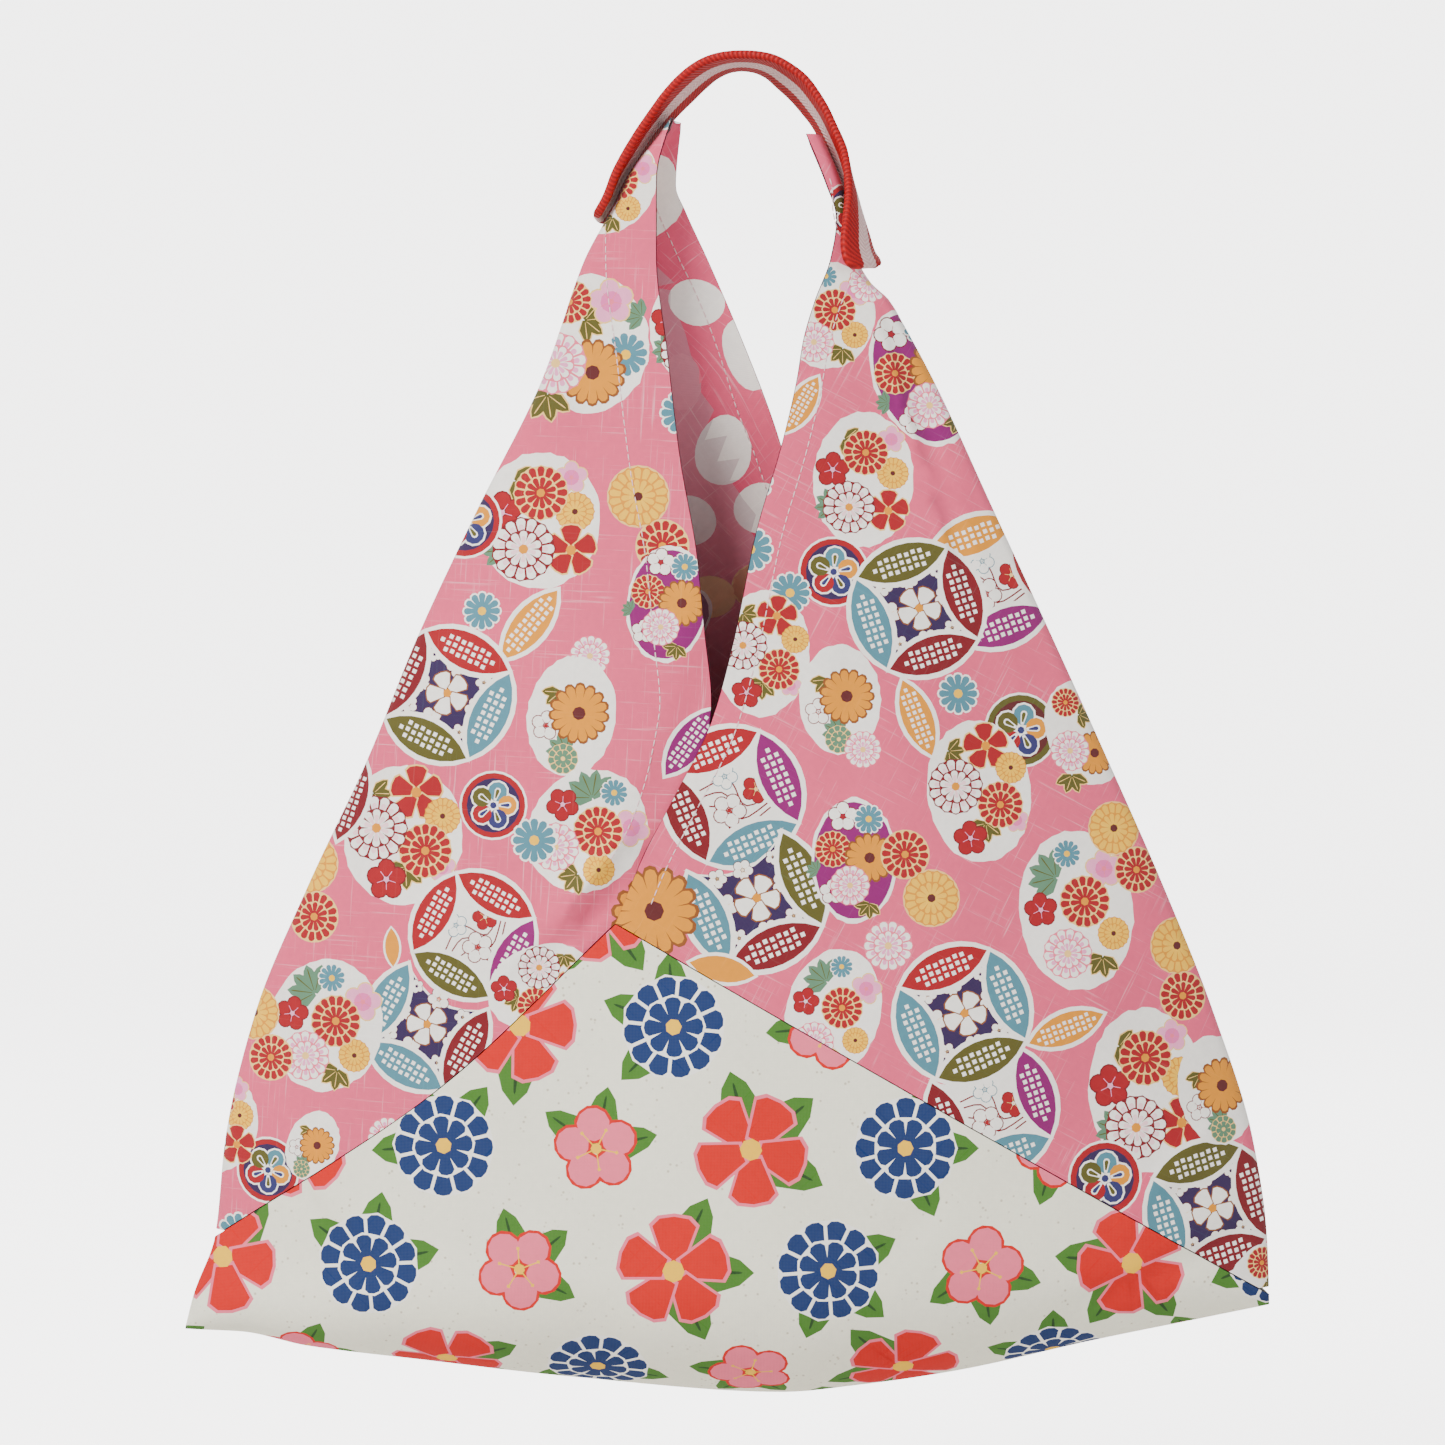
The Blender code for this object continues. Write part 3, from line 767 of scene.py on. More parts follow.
def medallion(variant, dice):
    """Dark-edged disc round a five-petalled flower of several paints."""
    rim, field = (("red", "navy"), ("olive", "brown"))[int(variant) % 2]
    out = [shape(ellipse(1.10, 1.10, 24), "white"), shape(ellipse(1.03, 1.03, 24), rim)]
    out.append(shape(ellipse(0.86, 0.86, 20), field))
    fifth = 2 * math.pi / 5
    paints = ("teal", "mustard", "bright_blue", "red", "olive")
    for size, white in ((0.37, True), (0.31, False)):
        for i, paint in enumerate(paints):
            mid = (0.45 * math.sin(i * fifth), -0.45 * math.cos(i * fifth))
            out.append(shape(ellipse(size, size, 11, mid), "white" if white else paint))
    for i in range(5):
        out.append(shape(petal(0.16, 0.58, 0.10, i * fifth - math.pi / 2), "white"))
        out.append(shape(petal(0.24, 0.53, 0.06, i * fifth - math.pi / 2), "bright_blue" if i % 2 else "olive"))
    out.append(shape(ellipse(0.15, 0.15, 8), "white"))
    out.append(shape(ellipse(0.11, 0.11, 7), "bright_blue"))
    return out


def pair(variant, dice):
    """A yellow flower touching a red one, each with a light edge."""
    out = []
    for spot, size in (((0.46, 0.62), 0.62), ((-0.28, -0.46), 0.72)):
        out.append(shape(ellipse(size * 1.03, size * 1.03, 22, spot), "straw"))
    return out + FLOWERS["red_kiku"]((0.46, 0.62), 0.62) + FLOWERS["puff"]((-0.28, -0.46), 0.70)


MOTIFS = {
    1: lambda v, dice: bouquet(v, dice),
    2: lambda v, dice: bouquet(v, dice, "white", 1.35),
    3: lambda v, dice: bouquet(v, dice, "magenta", 1.45),
    4: shippo,
    5: medallion,
    6: pair,
    7: lambda v, dice: lens(1.0, 0.40, ("mustard", "wine", "teal", "magenta", "olive")[int(v) % 5]),
    8: lambda v, dice: FLOWERS["teal_daisy" if v < 1 else "rose_kiku"]((0, 0), 1.0),
    9: lambda v, dice: FLOWERS["gold_daisy"]((0, 0), 1.0),
}
LAYOUT = "kind column row size turn variant"

LEFT_PRINT = table(
    LAYOUT,
    (1, 700, 330, 50, 0.0, 1),
    (1, 588, 346, 62, -0.1, 0),
    (1, 541, 522, 61, 0.0, 1),
    (5, 466, 522, 34, 0.0, 0),
    (6, 648, 520, 42, 0.15, 0),
    (8, 484, 612, 19, 0.0, 0),
    (7, 532, 626, 46, 2.25, 0),
    (3, 668, 606, 40, 0.1, 5),
    (8, 592, 657, 20, 0.3, 1),
    (4, 449, 695, 68, -0.34, 0),
    (2, 574, 716, 44, 0.15, 4),
    (7, 690, 742, 42, 2.2, 3),
    (1, 406, 834, 61, 0.0, 2),
    (5, 497, 804, 31, 0.3, 0),
    (1, 590, 828, 56, 0.7, 3),
    (8, 538, 838, 22, 0.0, 0),
    (7, 352, 800, 44, 1.9, 1),
    (4, 432, 1020, 64, -0.28, 45),
    (4, 478, 931, 63, -0.28, 1),
    (7, 397, 944, 20, 1.5, 0),
    (2, 545, 980, 40, 1.2, 2),
    (1, 330, 1022, 58, 0.2, 3),
    (6, 312, 885, 40, 0.5, 0),
    (5, 272, 1166, 30, 0.6, 0),
    (6, 262, 1030, 36, 0.2, 0),
    (1, 215, 1120, 46, 0.0, 1),
    (2, 318, 1140, 26, 0.4, 4),
    (9, 655, 914, 40, 0.0, 0),
    (1, 610, 185, 46, 0.4, 3),
)
RIGHT_PRINT = table(
    LAYOUT,
    (1, 826, 318, 48, 0.05, 3),
    (7, 801, 408, 34, 2.1, 0),
    (8, 868, 285, 20, 0.0, 1),
    (3, 922, 378, 50, -0.40, 5),
    (2, 862, 482, 50, 0.05, 1),
    (5, 832, 574, 32, 0.1, 0),
    (8, 789, 595, 20, 0.0, 0),
    (2, 762, 655, 46, 0.1, 2),
    (4, 988, 582, 68, 0.42, 23),
    (4, 915, 610, 68, 0.46, 2),
    (2, 838, 700, 40, 0.0, 4),
    (8, 860, 749, 18, 0.0, 1),
    (7, 914, 718, 42, 1.2, 0),
    (8, 955, 694, 20, 0.0, 0),
    (5, 1018, 730, 34, 0.2, 1),
    (2, 975, 790, 52, -0.1, 2),
    (2, 1084, 732, 40, -0.35, 0),
    (4, 733, 795, 69, 0.38, 4),
    (4, 754, 894, 71, 0.38, 35),
    (3, 851, 857, 42, 0.0, 5),
    (6, 917, 876, 38, 3.2, 0),
    (8, 884, 940, 24, 0.0, 1),
    (2, 1072, 908, 58, -0.1, 3),
    (6, 1120, 845, 36, 0.1, 0),
    (4, 985, 1100, 66, 0.45, 34),
    (4, 957, 1007, 68, 0.40, 6),
    (2, 830, 1004, 46, 0.25, 3),
    (7, 1060, 1023, 42, -0.35, 0),
    (2, 1142, 1086, 60, -0.1, 1),
    (5, 1098, 1170, 34, 0.1, 0),
    (4, 1206, 1204, 68, 0.50, 2),
    (6, 1176, 965, 38, 0.5, 0),
    (2, 1214, 1088, 40, -0.2, 4),
    (7, 722, 962, 34, 0.2, 0),
    (9, 656, 906, 42, 0.0, 0),
    (2, 1262, 1300, 44, 0.2, 0),
)
# Where the same motifs come again on the back of the cloth, in chart squares
LEFT_REPEAT = ((-405, -160), (-790, -330))
RIGHT_REPEAT = ((405, -150), (790, -310))


def reach_of(row):
    tall = 1.38 if row["kind"] in (2, 3) else 1.28 if row["kind"] == 4 else 1.08
    return row["size"] * tall


def clear_of(placed, column, row, reach, slack):
    return all(math.hypot(column - c, row - r) > (reach + q) * slack for c, r, q in placed)


def pink_print(layout, repeats, dice):
    """Every motif of one panel: the charted ones, their repeats beyond the fold and small fillers."""
    shapes, placed = [], []
    for row in layout:
        shapes.append((row, row["column"], row["row"]))
        placed.append((row["column"], row["row"], reach_of(row)))
    for shift_x, shift_y in repeats:
        for row in layout:
            column, line = row["column"] + shift_x, row["row"] + shift_y
            if clear_of(placed, column, line, reach_of(row), 0.80):
                shapes.append((row, column, line))
                placed.append((column, line, reach_of(row)))
    fillers = table(LAYOUT, (6, 0, 0, 32, 0.3, 0), (8, 0, 0, 22, 0, 0), (8, 0, 0, 20, 0, 1), (5, 0, 0, 26, 0, 0))
    low = layout["column"].min() - 620
    high = layout["column"].max() + 620
    for i, line in enumerate(np.arange(-60, 1300, 34.0)):
        for column in np.arange(low + 17 * (i % 2), high, 34.0):
            row = fillers[dice.integers(0, 4)]
            if clear_of(placed, column, line, reach_of(row), 1.10):
                shapes.append((row, column, line))
                placed.append((column, line, reach_of(row)))
    out = []
    for row, column, line in shapes:
        motif = MOTIFS[int(row["kind"])](row["variant"], dice)
        out += turned(motif, row["size"], row["turn"], column, line)
    return out


def ribbon(points, widths, paint):
    """A band of changing width along a line of points."""
    points = np.asarray(points, float)
    widths = np.broadcast_to(np.asarray(widths, float), len(points))
    way = np.gradient(points, axis=0)
    way /= np.linalg.norm(way, axis=1)[:, None] + 1e-9
    side = np.stack([-way[:, 1], way[:, 0]], axis=1) * widths[:, None] / 2
    return shape(np.concatenate([points + side, (points - side)[::-1]]), paint)


def curve(points, count=14):
    """A smooth line through a few points."""
    points = np.asarray(points, float)
    known = np.arange(len(points), dtype=float)
    at = np.linspace(0, len(points) - 1, count)
    return np.stack([smooth(known, points[:, 0], at), smooth(known, points[:, 1], at)], axis=1)


# Blossoms of the canvas in their turn along a row, with their radius in chart squares
CANVAS_FLOWERS = (
    (star_plum("bright_red", "blush", "yellow"), 54),
    (kiku("bright_blue", "white", "yellow", 12), 50),
    (plum("blush", "bright_red", "yellow"), 42),
)
# Chart squares that the canvas print fills, and the space from one blossom to the next
CANVAS_COLUMNS = (150, 1340)
CANVAS_ROWS = (900, 1880)
CANVAS_PITCH = (150, 118)
LEAF_REACH = 1.45
BLOSSOM_TURN = 0.7


def canvas_print():
    """Red, blue and pink blossoms, each with three leaves, in staggered rows on the cream canvas."""
    out = []
    across, down = CANVAS_PITCH
    for i, row in enumerate(np.arange(*CANVAS_ROWS, down)):
        start = CANVAS_COLUMNS[0] + across / 2 * (i % 2)
        for j, column in enumerate(np.arange(start, CANVAS_COLUMNS[1], across)):
            flower, size = CANVAS_FLOWERS[(i + j) % len(CANVAS_FLOWERS)]
            turn = BLOSSOM_TURN * (2 * i + j)
            out += turned(leaf_fan("leaf", "pine", count=3), LEAF_REACH * size, turn, column, row)
            out += turned(flower, size, turn, column, row)
    return out


def panel_parts(side):
    """Tables and directions of one printed panel."""
    if side == "left":
        return SEAM_LEFT_FRONT, SEAM_LEFT_BACK, EDGE_LEFT_FRONT, EDGE_LEFT_BACK, LEFT_CORNER, 1
    return SEAM_RIGHT_FRONT, SEAM_RIGHT_BACK, EDGE_RIGHT_FRONT, EDGE_RIGHT_BACK, RIGHT_CORNER, -1


# Creases too fine for the main form. swell is in millimetres, reach a share of HALF_WIDTH
FINE_FOLDS = table(
    "x0 h0 x1 h1 reach swell",
    (-0.150, 0.462, -0.415, 0.330, 0.016, 1.9),
    (-0.185, 0.405, -0.330, 0.345, 0.020, -1.5),
    (0.262, 0.868, 0.445, 0.600, 0.010, 1.3),
    (0.300, 0.868, 0.470, 0.600, 0.020, -1.6),
    (-0.880, 0.250, -0.660, 0.120, 0.030, 1.8),
    (-0.830, 0.180, -0.560, 0.075, 0.028, -1.6),
    (-0.700, 0.330, -0.520, 0.190, 0.036, 1.2),
    (0.930, 0.230, 0.700, 0.130, 0.030, 1.6),
    (0.960, 0.130, 0.560, 0.060, 0.024, -1.6),
    (0.560, 0.420, 0.740, 0.230, 0.050, 1.4),
    (-0.420, 0.660, -0.620, 0.420, 0.040, 1.3),
    (0.200, 0.640, 0.160, 0.480, 0.030, 1.0),
    (-0.300, 0.860, -0.240, 0.700, 0.020, -1.0),
    (0.340, 0.800, 0.560, 0.520, 0.032, 1.0),
    (-0.100, 0.300, 0.100, 0.180, 0.050, 1.5),
    (0.420, 0.180, 0.200, 0.080, 0.040, -1.2),
    (-0.480, 0.180, -0.240, 0.070, 0.040, 1.3),
)


def creases(x, z):
    """Fine creases and a slight unevenness of the cloth."""
    lift = np.zeros_like(x)
    for fold in FINE_FOLDS:
        start = np.array([to_x(fold["x0"]), to_z(fold["h0"])])
        along = np.array([to_x(fold["x1"]), to_z(fold["h1"])]) - start
        share = ((x - start[0]) * along[0] + (z - start[1]) * along[1]) / (along @ along)
        near = np.clip(share, 0, 1)
        distance = np.hypot(x - start[0] - near * along[0], z - start[1] - near * along[1])
        taper = np.sin(math.pi * np.clip(0.04 + 0.92 * near, 0, 1)) ** 0.7
        lift += fold["swell"] * MM * taper * np.exp(-((distance / (fold["reach"] * HALF_WIDTH)) ** 2))
    wave = np.sin(x * 61 + 2.1 * np.sin(z * 23)) * np.sin(z * 37 + 1.3) + 0.6 * np.sin(x * 97 - z * 71 + 0.7)
    return lift + 0.35 * MM * wave


def full_depth(x, z, rows):
    """Depth of the body with its fine creases, which fade out at the folds."""
    left, right = side_x("left", z), side_x("right", z)
    inner = np.clip(np.minimum(x - left, right - x) / (14 * MM), 0, 1)
    above = np.clip((z - bottom_z(x)) / (10 * MM), 0, 1)
    return body_depth(x, z, rows) + creases(x, z) * ease(inner) * ease(above)


def panel_depth(side, back):
    """Depth of one half of a printed panel as a function of x and z."""
    def depth(x, z):
        here = full_depth(x, z, BACK_FOLDS if back else FRONT_FOLDS)
        if side == "left" and not back:
            here = here - lap_drop(x, z, EDGE_RIGHT_FRONT, 1)
        if side == "right" and back:
            here = here - lap_drop(x, z, EDGE_LEFT_BACK, -1)
        return here

    return depth


def away(side, z):
    """Which way the back of a panel runs on the chart, as a mirror image in the slanting fold."""
    reach = 30 * MM
    run = (side_x(side, z + reach) - side_x(side, z - reach)) / (2 * reach)
    inward = 1 if side == "left" else -1
    size = np.hypot(run, 1)
    return inward * (2 * (run / size) ** 2 - 1), inward * 2 * run / size**2


def unfold(side, d, z):
    """Chart place of the back cloth at a distance d from the fold and a height z."""
    across, up = away(side, z)
    return side_x(side, z) + d * across, z + d * up


def fold_back(side, px, pz):
    """Distance from the fold and height of the back cloth at a chart place."""
    d = 0.8 * np.abs(px - side_x(side, pz))
    z = pz - d * away(side, pz)[1]
    step = 1 * MM
    for _ in range(14):
        x0, z0 = unfold(side, d, z)
        x1, z1 = unfold(side, d + step, z)
        x2, z2 = unfold(side, d, z + step)
        a, b, c, e = (x1 - x0) / step, (x2 - x0) / step, (z1 - z0) / step, (z2 - z0) / step
        det = a * e - b * c
        det = np.where(np.abs(det) < 0.2, 0.2 * np.sign(det + 1e-12), det)
        fx, fz = px - x0, pz - z0
        d = np.clip(d + np.clip((e * fx - b * fz) / det, -0.03, 0.03), 0, 0.5)
        z = np.clip(z + np.clip((a * fz - c * fx) / det, -0.03, 0.03), BOTTOM_Z, 0.01)
    return d, z


def place_panel(side):
    """Maps chart places to the panel's outer face and its normals."""
    inward = 1 if side == "left" else -1

    def place(points):
        x, z = points[:, 0].copy(), points[:, 1].copy()
        back = inward * (x - side_x(side, z)) < -1e-6
        d, level = fold_back(side, x[back], z[back])
        x[back] = side_x(side, level) + inward * d
        z[back] = level
        y = np.zeros_like(x)
        normal = np.zeros((len(x), 3))
        for half, way in ((~back, -1), (back, 1)):
            depth, across, up = slope_of(panel_depth(side, way > 0), x[half], z[half])
            y[half] = way * np.clip(depth, 0, None)
            normal[half] = np.stack([-across, np.full_like(across, way), -up], axis=1)
        normal /= np.linalg.norm(normal, axis=1)[:, None]
        return np.stack([x, y, z], axis=1), normal

    return place


def line_between(start, end, step=3 * MM):
    count = max(2, int(math.hypot(end[0] - start[0], end[1] - start[1]) / step) + 1)
    return np.linspace(start, end, count)[:-1]


def panel_outline(side):
    """Edge of one printed panel on the chart, all the way round."""
    seam_front, seam_back, edge_front, edge_back, corner, inward = panel_parts(side)
    up = to_z(np.linspace(APEX["height"], TIPS[side], 130))
    low = to_z(np.linspace(corner["height"] + 0.006, APEX["height"], 70)[:-1])
    front_edge = np.stack([to_x(read(edge_front, "across", to_height(up))), up], axis=1)
    back_edge = np.stack([to_x(read(edge_back, "across", to_height(up))), up], axis=1)
    slip = inward * seam_slip(seam_front)
    front_seam = np.stack([to_x(read(seam_front, "across", to_height(low))) - slip, low], axis=1)
    slip = inward * seam_slip(seam_back)
    back_seam = np.stack([to_x(read(seam_back, "across", to_height(low))) - slip, low], axis=1)

    def behind(rows):
        d = inward * (rows[:, 0] - side_x(side, rows[:, 1]))
        return np.stack(unfold(side, d, rows[:, 1]), axis=1)

    fold_top = np.array([float(side_x(side, up[-1])), up[-1]])
    fold_low = np.array([float(side_x(side, low[0])), low[0]])
    return np.concatenate(
        [
            front_edge[:-1],
            line_between(front_edge[-1], fold_top),
            behind(line_between(fold_top, back_edge[-1])),
            behind(back_edge[::-1]),
            behind(back_seam[::-1])[:-1],
            behind(line_between(back_seam[0], fold_low)),
            line_between(fold_low, front_seam[0]),
            front_seam,
        ]
    )


def panel_lines(side):
    """Lines of mesh points along the fold, close together where the cloth bends round it."""
    z = to_z(np.linspace(0.06, TIPS[side] + 0.003, 150))
    inward = 1 if side == "left" else -1
    fold = side_x(side, z)
    out = [np.stack([fold, z], axis=1)]
    for d in (0.25, 0.7, 1.4, 2.4, 3.6, 5.2):
        out.append(np.stack([fold + inward * d * MM, z], axis=1))
        out.append(np.stack(unfold(side, np.full_like(z, d * MM), z), axis=1))
    return out


def base_rise(x):
    z = bottom_z(x) + 20 * MM
    left, right = side_x("left", z), side_x("right", z)
    belly = np.sin(math.pi / 2 * np.clip(2 * np.clip(np.minimum(x - left, right - x), 0, None) / (right - left), 0, 1))
    return BOTTOM_RISE * (0.12 + 0.88 * belly**FULLNESS)


def base_height(x, above):
    """Real height above the bottom for a length of cloth measured up from the bottom line."""
    rise = base_rise(x)
    quarter = rise * math.pi / 2
    return np.where(above < quarter, rise * (1 - np.cos(np.clip(above / rise, 0, math.pi / 2))), above - quarter + rise)


def base_chart(x, z, back=False):
    """Chart place of the base cloth at a height in front or behind."""
    rise = base_rise(x)
    h = z - bottom_z(x)
    above = np.where(h < rise, rise * np.arccos(np.clip(1 - h / rise, -1, 1)), h - rise + rise * math.pi / 2)
    crease = bottom_z(x) - rise * (math.pi / 2 - 1)
    return np.stack([x, crease - above if back else crease + above], axis=-1)


def place_base(points):
    """Maps chart places to the base cloth's outer face and its normals."""
    x = points[:, 0]
    crease = bottom_z(x) - base_rise(x) * (math.pi / 2 - 1)
    above = points[:, 1] - crease
    back = above < -1e-7
    z = bottom_z(x) + base_height(x, np.abs(above))
    y = np.zeros_like(x)
    normal = np.zeros((len(x), 3))
    for half, way, rows in ((~back, -1, FRONT_FOLDS), (back, 1, BACK_FOLDS)):
        depth, across, up = slope_of(lambda a, b, r=rows: full_depth(a, b, r), x[half], z[half])
        y[half] = way * np.clip(depth, 0, None)
        normal[half] = np.stack([-across, np.full_like(across, way), -up], axis=1)
    normal /= np.linalg.norm(normal, axis=1)[:, None]
    return np.stack([x, y, z], axis=1), normal


def base_outline():
    """Edge of the base cloth on the chart."""
    halves = []
    for left, right, apex, back in (
        (SEAM_LEFT_FRONT, SEAM_RIGHT_FRONT, APEX["front"], False),
        (SEAM_LEFT_BACK, SEAM_RIGHT_BACK, APEX["back"], True),
    ):
        across = np.unique(np.concatenate([np.linspace(-0.945, apex, 90), np.linspace(apex, 0.997, 110)]))
        x = to_x(across)
        h = np.where(across <= apex, read(left, "height", across, by="across"), read(right, "height", across, by="across"))
        z = to_z(h) - SEAM_GAP / 2 * 1.25
        low_left = to_z(np.linspace(0.0505, 0.118, 12))
        low_right = to_z(np.linspace(0.0700, 0.0745, 3))
        start = np.stack([side_x("left", low_left), low_left], axis=1)
        end = np.stack([side_x("right", low_right), low_right], axis=1)[::-1]
        rows = np.concatenate([start, np.stack([x, z], axis=1), end])
        halves.append(base_chart(rows[:, 0], rows[:, 1], back))
    return np.concatenate([halves[0], halves[1][::-1]])[::-1]


def base_lines():
    """Lines of mesh points along the bottom, close together where the cloth turns under the bag."""
    x = np.linspace(to_x(-0.985), to_x(0.985), 150)
    crease = bottom_z(x) - base_rise(x) * (math.pi / 2 - 1)
    out = []
    for above in (0, 0.5, 1.4, 3, 6, 10, 16):
        for way in (1, -1) if above else (1,):
            out.append(np.stack([x, crease + way * above * MM], axis=1))
    return out


def left_turning(loop):
    x, y = loop[:, 0], loop[:, 1]
    area = np.sum(x * np.roll(y, -1) - np.roll(x, -1) * y)
    return loop if area > 0 else loop[::-1]


def triangulate(outline, lines, shapes, step):
    """Triangles inside an outline, each with the number of the last shape laid over it, or -1."""
    unit = 1000.0
    outline = left_turning(outline)
    loops = [outline] + [left_turning(chart(p[:, 0], p[:, 1])) for p, _ in shapes]
    low, high = outline.min(0), outline.max(0)
    keep = [0]
    for i, loop in enumerate(loops[1:], start=1):
        if (loop.max(0) > low).all() and (loop.min(0) < high).all():
            keep.append(i)
    verts, edges, faces = [], [], []
    for i in keep:
        start = len(verts)
        verts += [Vector(p) for p in (loops[i] * unit).tolist()]
        faces.append(list(range(start, len(verts))))
    for line in lines:
        start = len(verts)
        verts += [Vector(p) for p in (line * unit).tolist()]
        edges += [(k, k + 1) for k in range(start, len(verts) - 1)]
    columns = np.arange(low[0], high[0], step)
    for i, z in enumerate(np.arange(low[1], high[1], step * 0.87)):
        for x in columns + (i % 2) * step / 2:
            verts.append(Vector((x * unit, z * unit)))
    found = delaunay_2d_cdt(verts, edges, faces, 0, 1e-4, True)
    points = np.array([tuple(v) for v in found[0]]) / unit
    triangles, tops = [], []
    for face, sources in zip(found[2], found[5]):
        if 0 in sources:
            triangles.append(face)
            top = max(sources)
            tops.append(keep[top] - 1 if top else -1)
    triangles = np.array(triangles)
    used, packed = np.unique(triangles, return_inverse=True)
    return points[used], packed.reshape(triangles.shape), np.array(tops)


def paint_table(shapes, ground):
    """Paint of each shape by its number, with the ground last, so that -1 finds it."""
    rows = [(*PAINTS[name], 0.0) for _, name in shapes] + [(*PAINTS[ground], 1.0)]
    return np.array(rows)


def facing(outline, place, wall, colours):
    """The cut edge of a cloth: a narrow rounded strip between its two faces."""
    closed = np.concatenate([outline, outline[:1]])
    outer, normal = place(closed)
    along = np.gradient(outer, axis=0)
    along /= np.linalg.norm(along, axis=1)[:, None] + 1e-12
    out = np.cross(along, normal)
    thick = wall(closed)[:, None]
    rows = [outer, outer - normal * thick * 0.5 + out * 0.25 * MM, outer - normal * thick]
    count = len(closed)
    verts = np.concatenate(rows)
    quads = []
    for r in range(2):
        base = r * count
        for i in range(count - 1):
            quads.append((base + i, base + i + 1, base + count + i + 1, base + count + i))
    return verts, np.array(quads), np.concatenate([normal, out, -normal])


def broad_shapes(shapes, least):
    """The shapes of a print that are at least so many squares across."""
    return [(points, paint) for points, paint in shapes if np.ptp(points, axis=0).max() >= least]


def cloth_object(name, outline, lines, place, wall, shapes, plain_shapes, ground, wash, step):
    """One cloth with its print on the outside, the paler wrong side inside and its edge."""
    outline = left_turning(outline)
    sheets = []
    for printed, inner in ((shapes, False), (plain_shapes, True)):
        points, triangles, tops = triangulate(outline, lines, printed, step * (1.5 if inner else 1))
        position, normal = place(points)
        paint = paint_table(printed, ground)[tops]
        facing_out = np.einsum(
            "ij,ij->i",
            np.cross(
                position[triangles[:, 1]] - position[triangles[:, 0]],
                position[triangles[:, 2]] - position[triangles[:, 0]],
            ),
            normal[triangles].mean(1),
        )
        triangles = np.where((facing_out < 0)[:, None], triangles[:, ::-1], triangles)
        if inner:
            centre = points[triangles].mean(1)
            position = position - normal * wall(points)[:, None]
            normal = -normal
            triangles = triangles[:, ::-1]
            paint = wash(paint, centre)
        sheets.append((points, position, normal, triangles, paint))
    edge_verts, edge_quads, edge_normals = facing(outline, place, wall, None)
    edge_chart = np.tile(np.concatenate([outline, outline[:1]]), (3, 1))
    quads = [edge_quads[:, (0, 1, 2)], edge_quads[:, (0, 2, 3)]]
    edge_faces = np.concatenate(quads)
    edge_paint = np.tile(paint_table([], ground)[-1], (len(edge_faces), 1))
    sheets.append((edge_chart, edge_verts, edge_normals, edge_faces, edge_paint))
    counts = np.cumsum([0] + [len(s[1]) for s in sheets])
    verts = np.concatenate([s[1] for s in sheets])
    normals = np.concatenate([s[2] for s in sheets])
    flat = np.concatenate([s[0] for s in sheets])
    faces = np.concatenate([s[3] + c for s, c in zip(sheets, counts)])
    paints = np.concatenate([s[4] for s in sheets])
    mesh = bpy.data.meshes.new(name)
    mesh.from_pydata(verts.tolist(), [], faces.tolist())
    mesh.shade_smooth()
    mesh.normals_split_custom_set_from_vertices(normals.tolist())
    layer = mesh.color_attributes.new("print", "FLOAT_COLOR", "CORNER")
    layer.data.foreach_set("color", np.repeat(paints, 3, axis=0).astype(np.float32).ravel())
    uv = mesh.uv_layers.new(name="cloth")
    uv.data.foreach_set("uv", flat[faces.ravel()].astype(np.float32).ravel())
    return bpy.data.objects.new(name, mesh)


class Wiring:
    """Adds nodes to a tree and joins them."""

    def __init__(self, tree):
        self.tree = tree

    def add(self, kind, **settings):
        node = self.tree.nodes.new(kind)
        for key, value in settings.items():
            setattr(node, key, value)
        return node

    def feed(self, node, **inputs):
        for key, value in inputs.items():
            socket = node.inputs[int(key[1:])] if key[1:].isdigit() else node.inputs[key.replace("_", " ")]
            if isinstance(value, bpy.types.NodeSocket):
                self.tree.links.new(value, socket)
            else:
                socket.default_value = value
        return node

    def math(self, operation, a, b=0.0, c=0.0):
        node = self.add("ShaderNodeMath", operation=operation)
        return self.feed(node, i0=a, i1=b, i2=c).outputs[0]

    def mix(self, factor, a, b, blend="MIX"):
        node = self.add("ShaderNodeMix", data_type="RGBA", blend_type=blend)
        node.inputs[0].default_value = 0.5
        self.feed(node, i0=factor, i6=a, i7=b)
        return node.outputs[2]

    def noise(self, vector, scale, detail=2.0, roughness=0.5):
        node = self.add("ShaderNodeTexNoise")
        self.feed(node, Vector=vector, Scale=scale, Detail=detail, Roughness=roughness)
        return node.outputs["Fac"]

    def span(self, value, low, high, to_low=0.0, to_high=1.0):
        node = self.add("ShaderNodeMapRange")
        self.feed(node, i0=value, i1=low, i2=high, i3=to_low, i4=to_high)
        return node.outputs[0]


def new_group(name, inputs, outputs):
    """A shader node group with named sockets, and the wiring to fill it."""
    tree = bpy.data.node_groups.new(name, "ShaderNodeTree")
    for label, kind, value in inputs:
        socket = tree.interface.new_socket(label, in_out="INPUT", socket_type=kind)
        if value is not None:
            socket.default_value = value
    for label, kind in outputs:
        tree.interface.new_socket(label, in_out="OUTPUT", socket_type=kind)
    wiring = Wiring(tree)
    return tree, wiring, wiring.add("NodeGroupInput"), wiring.add("NodeGroupOutput")


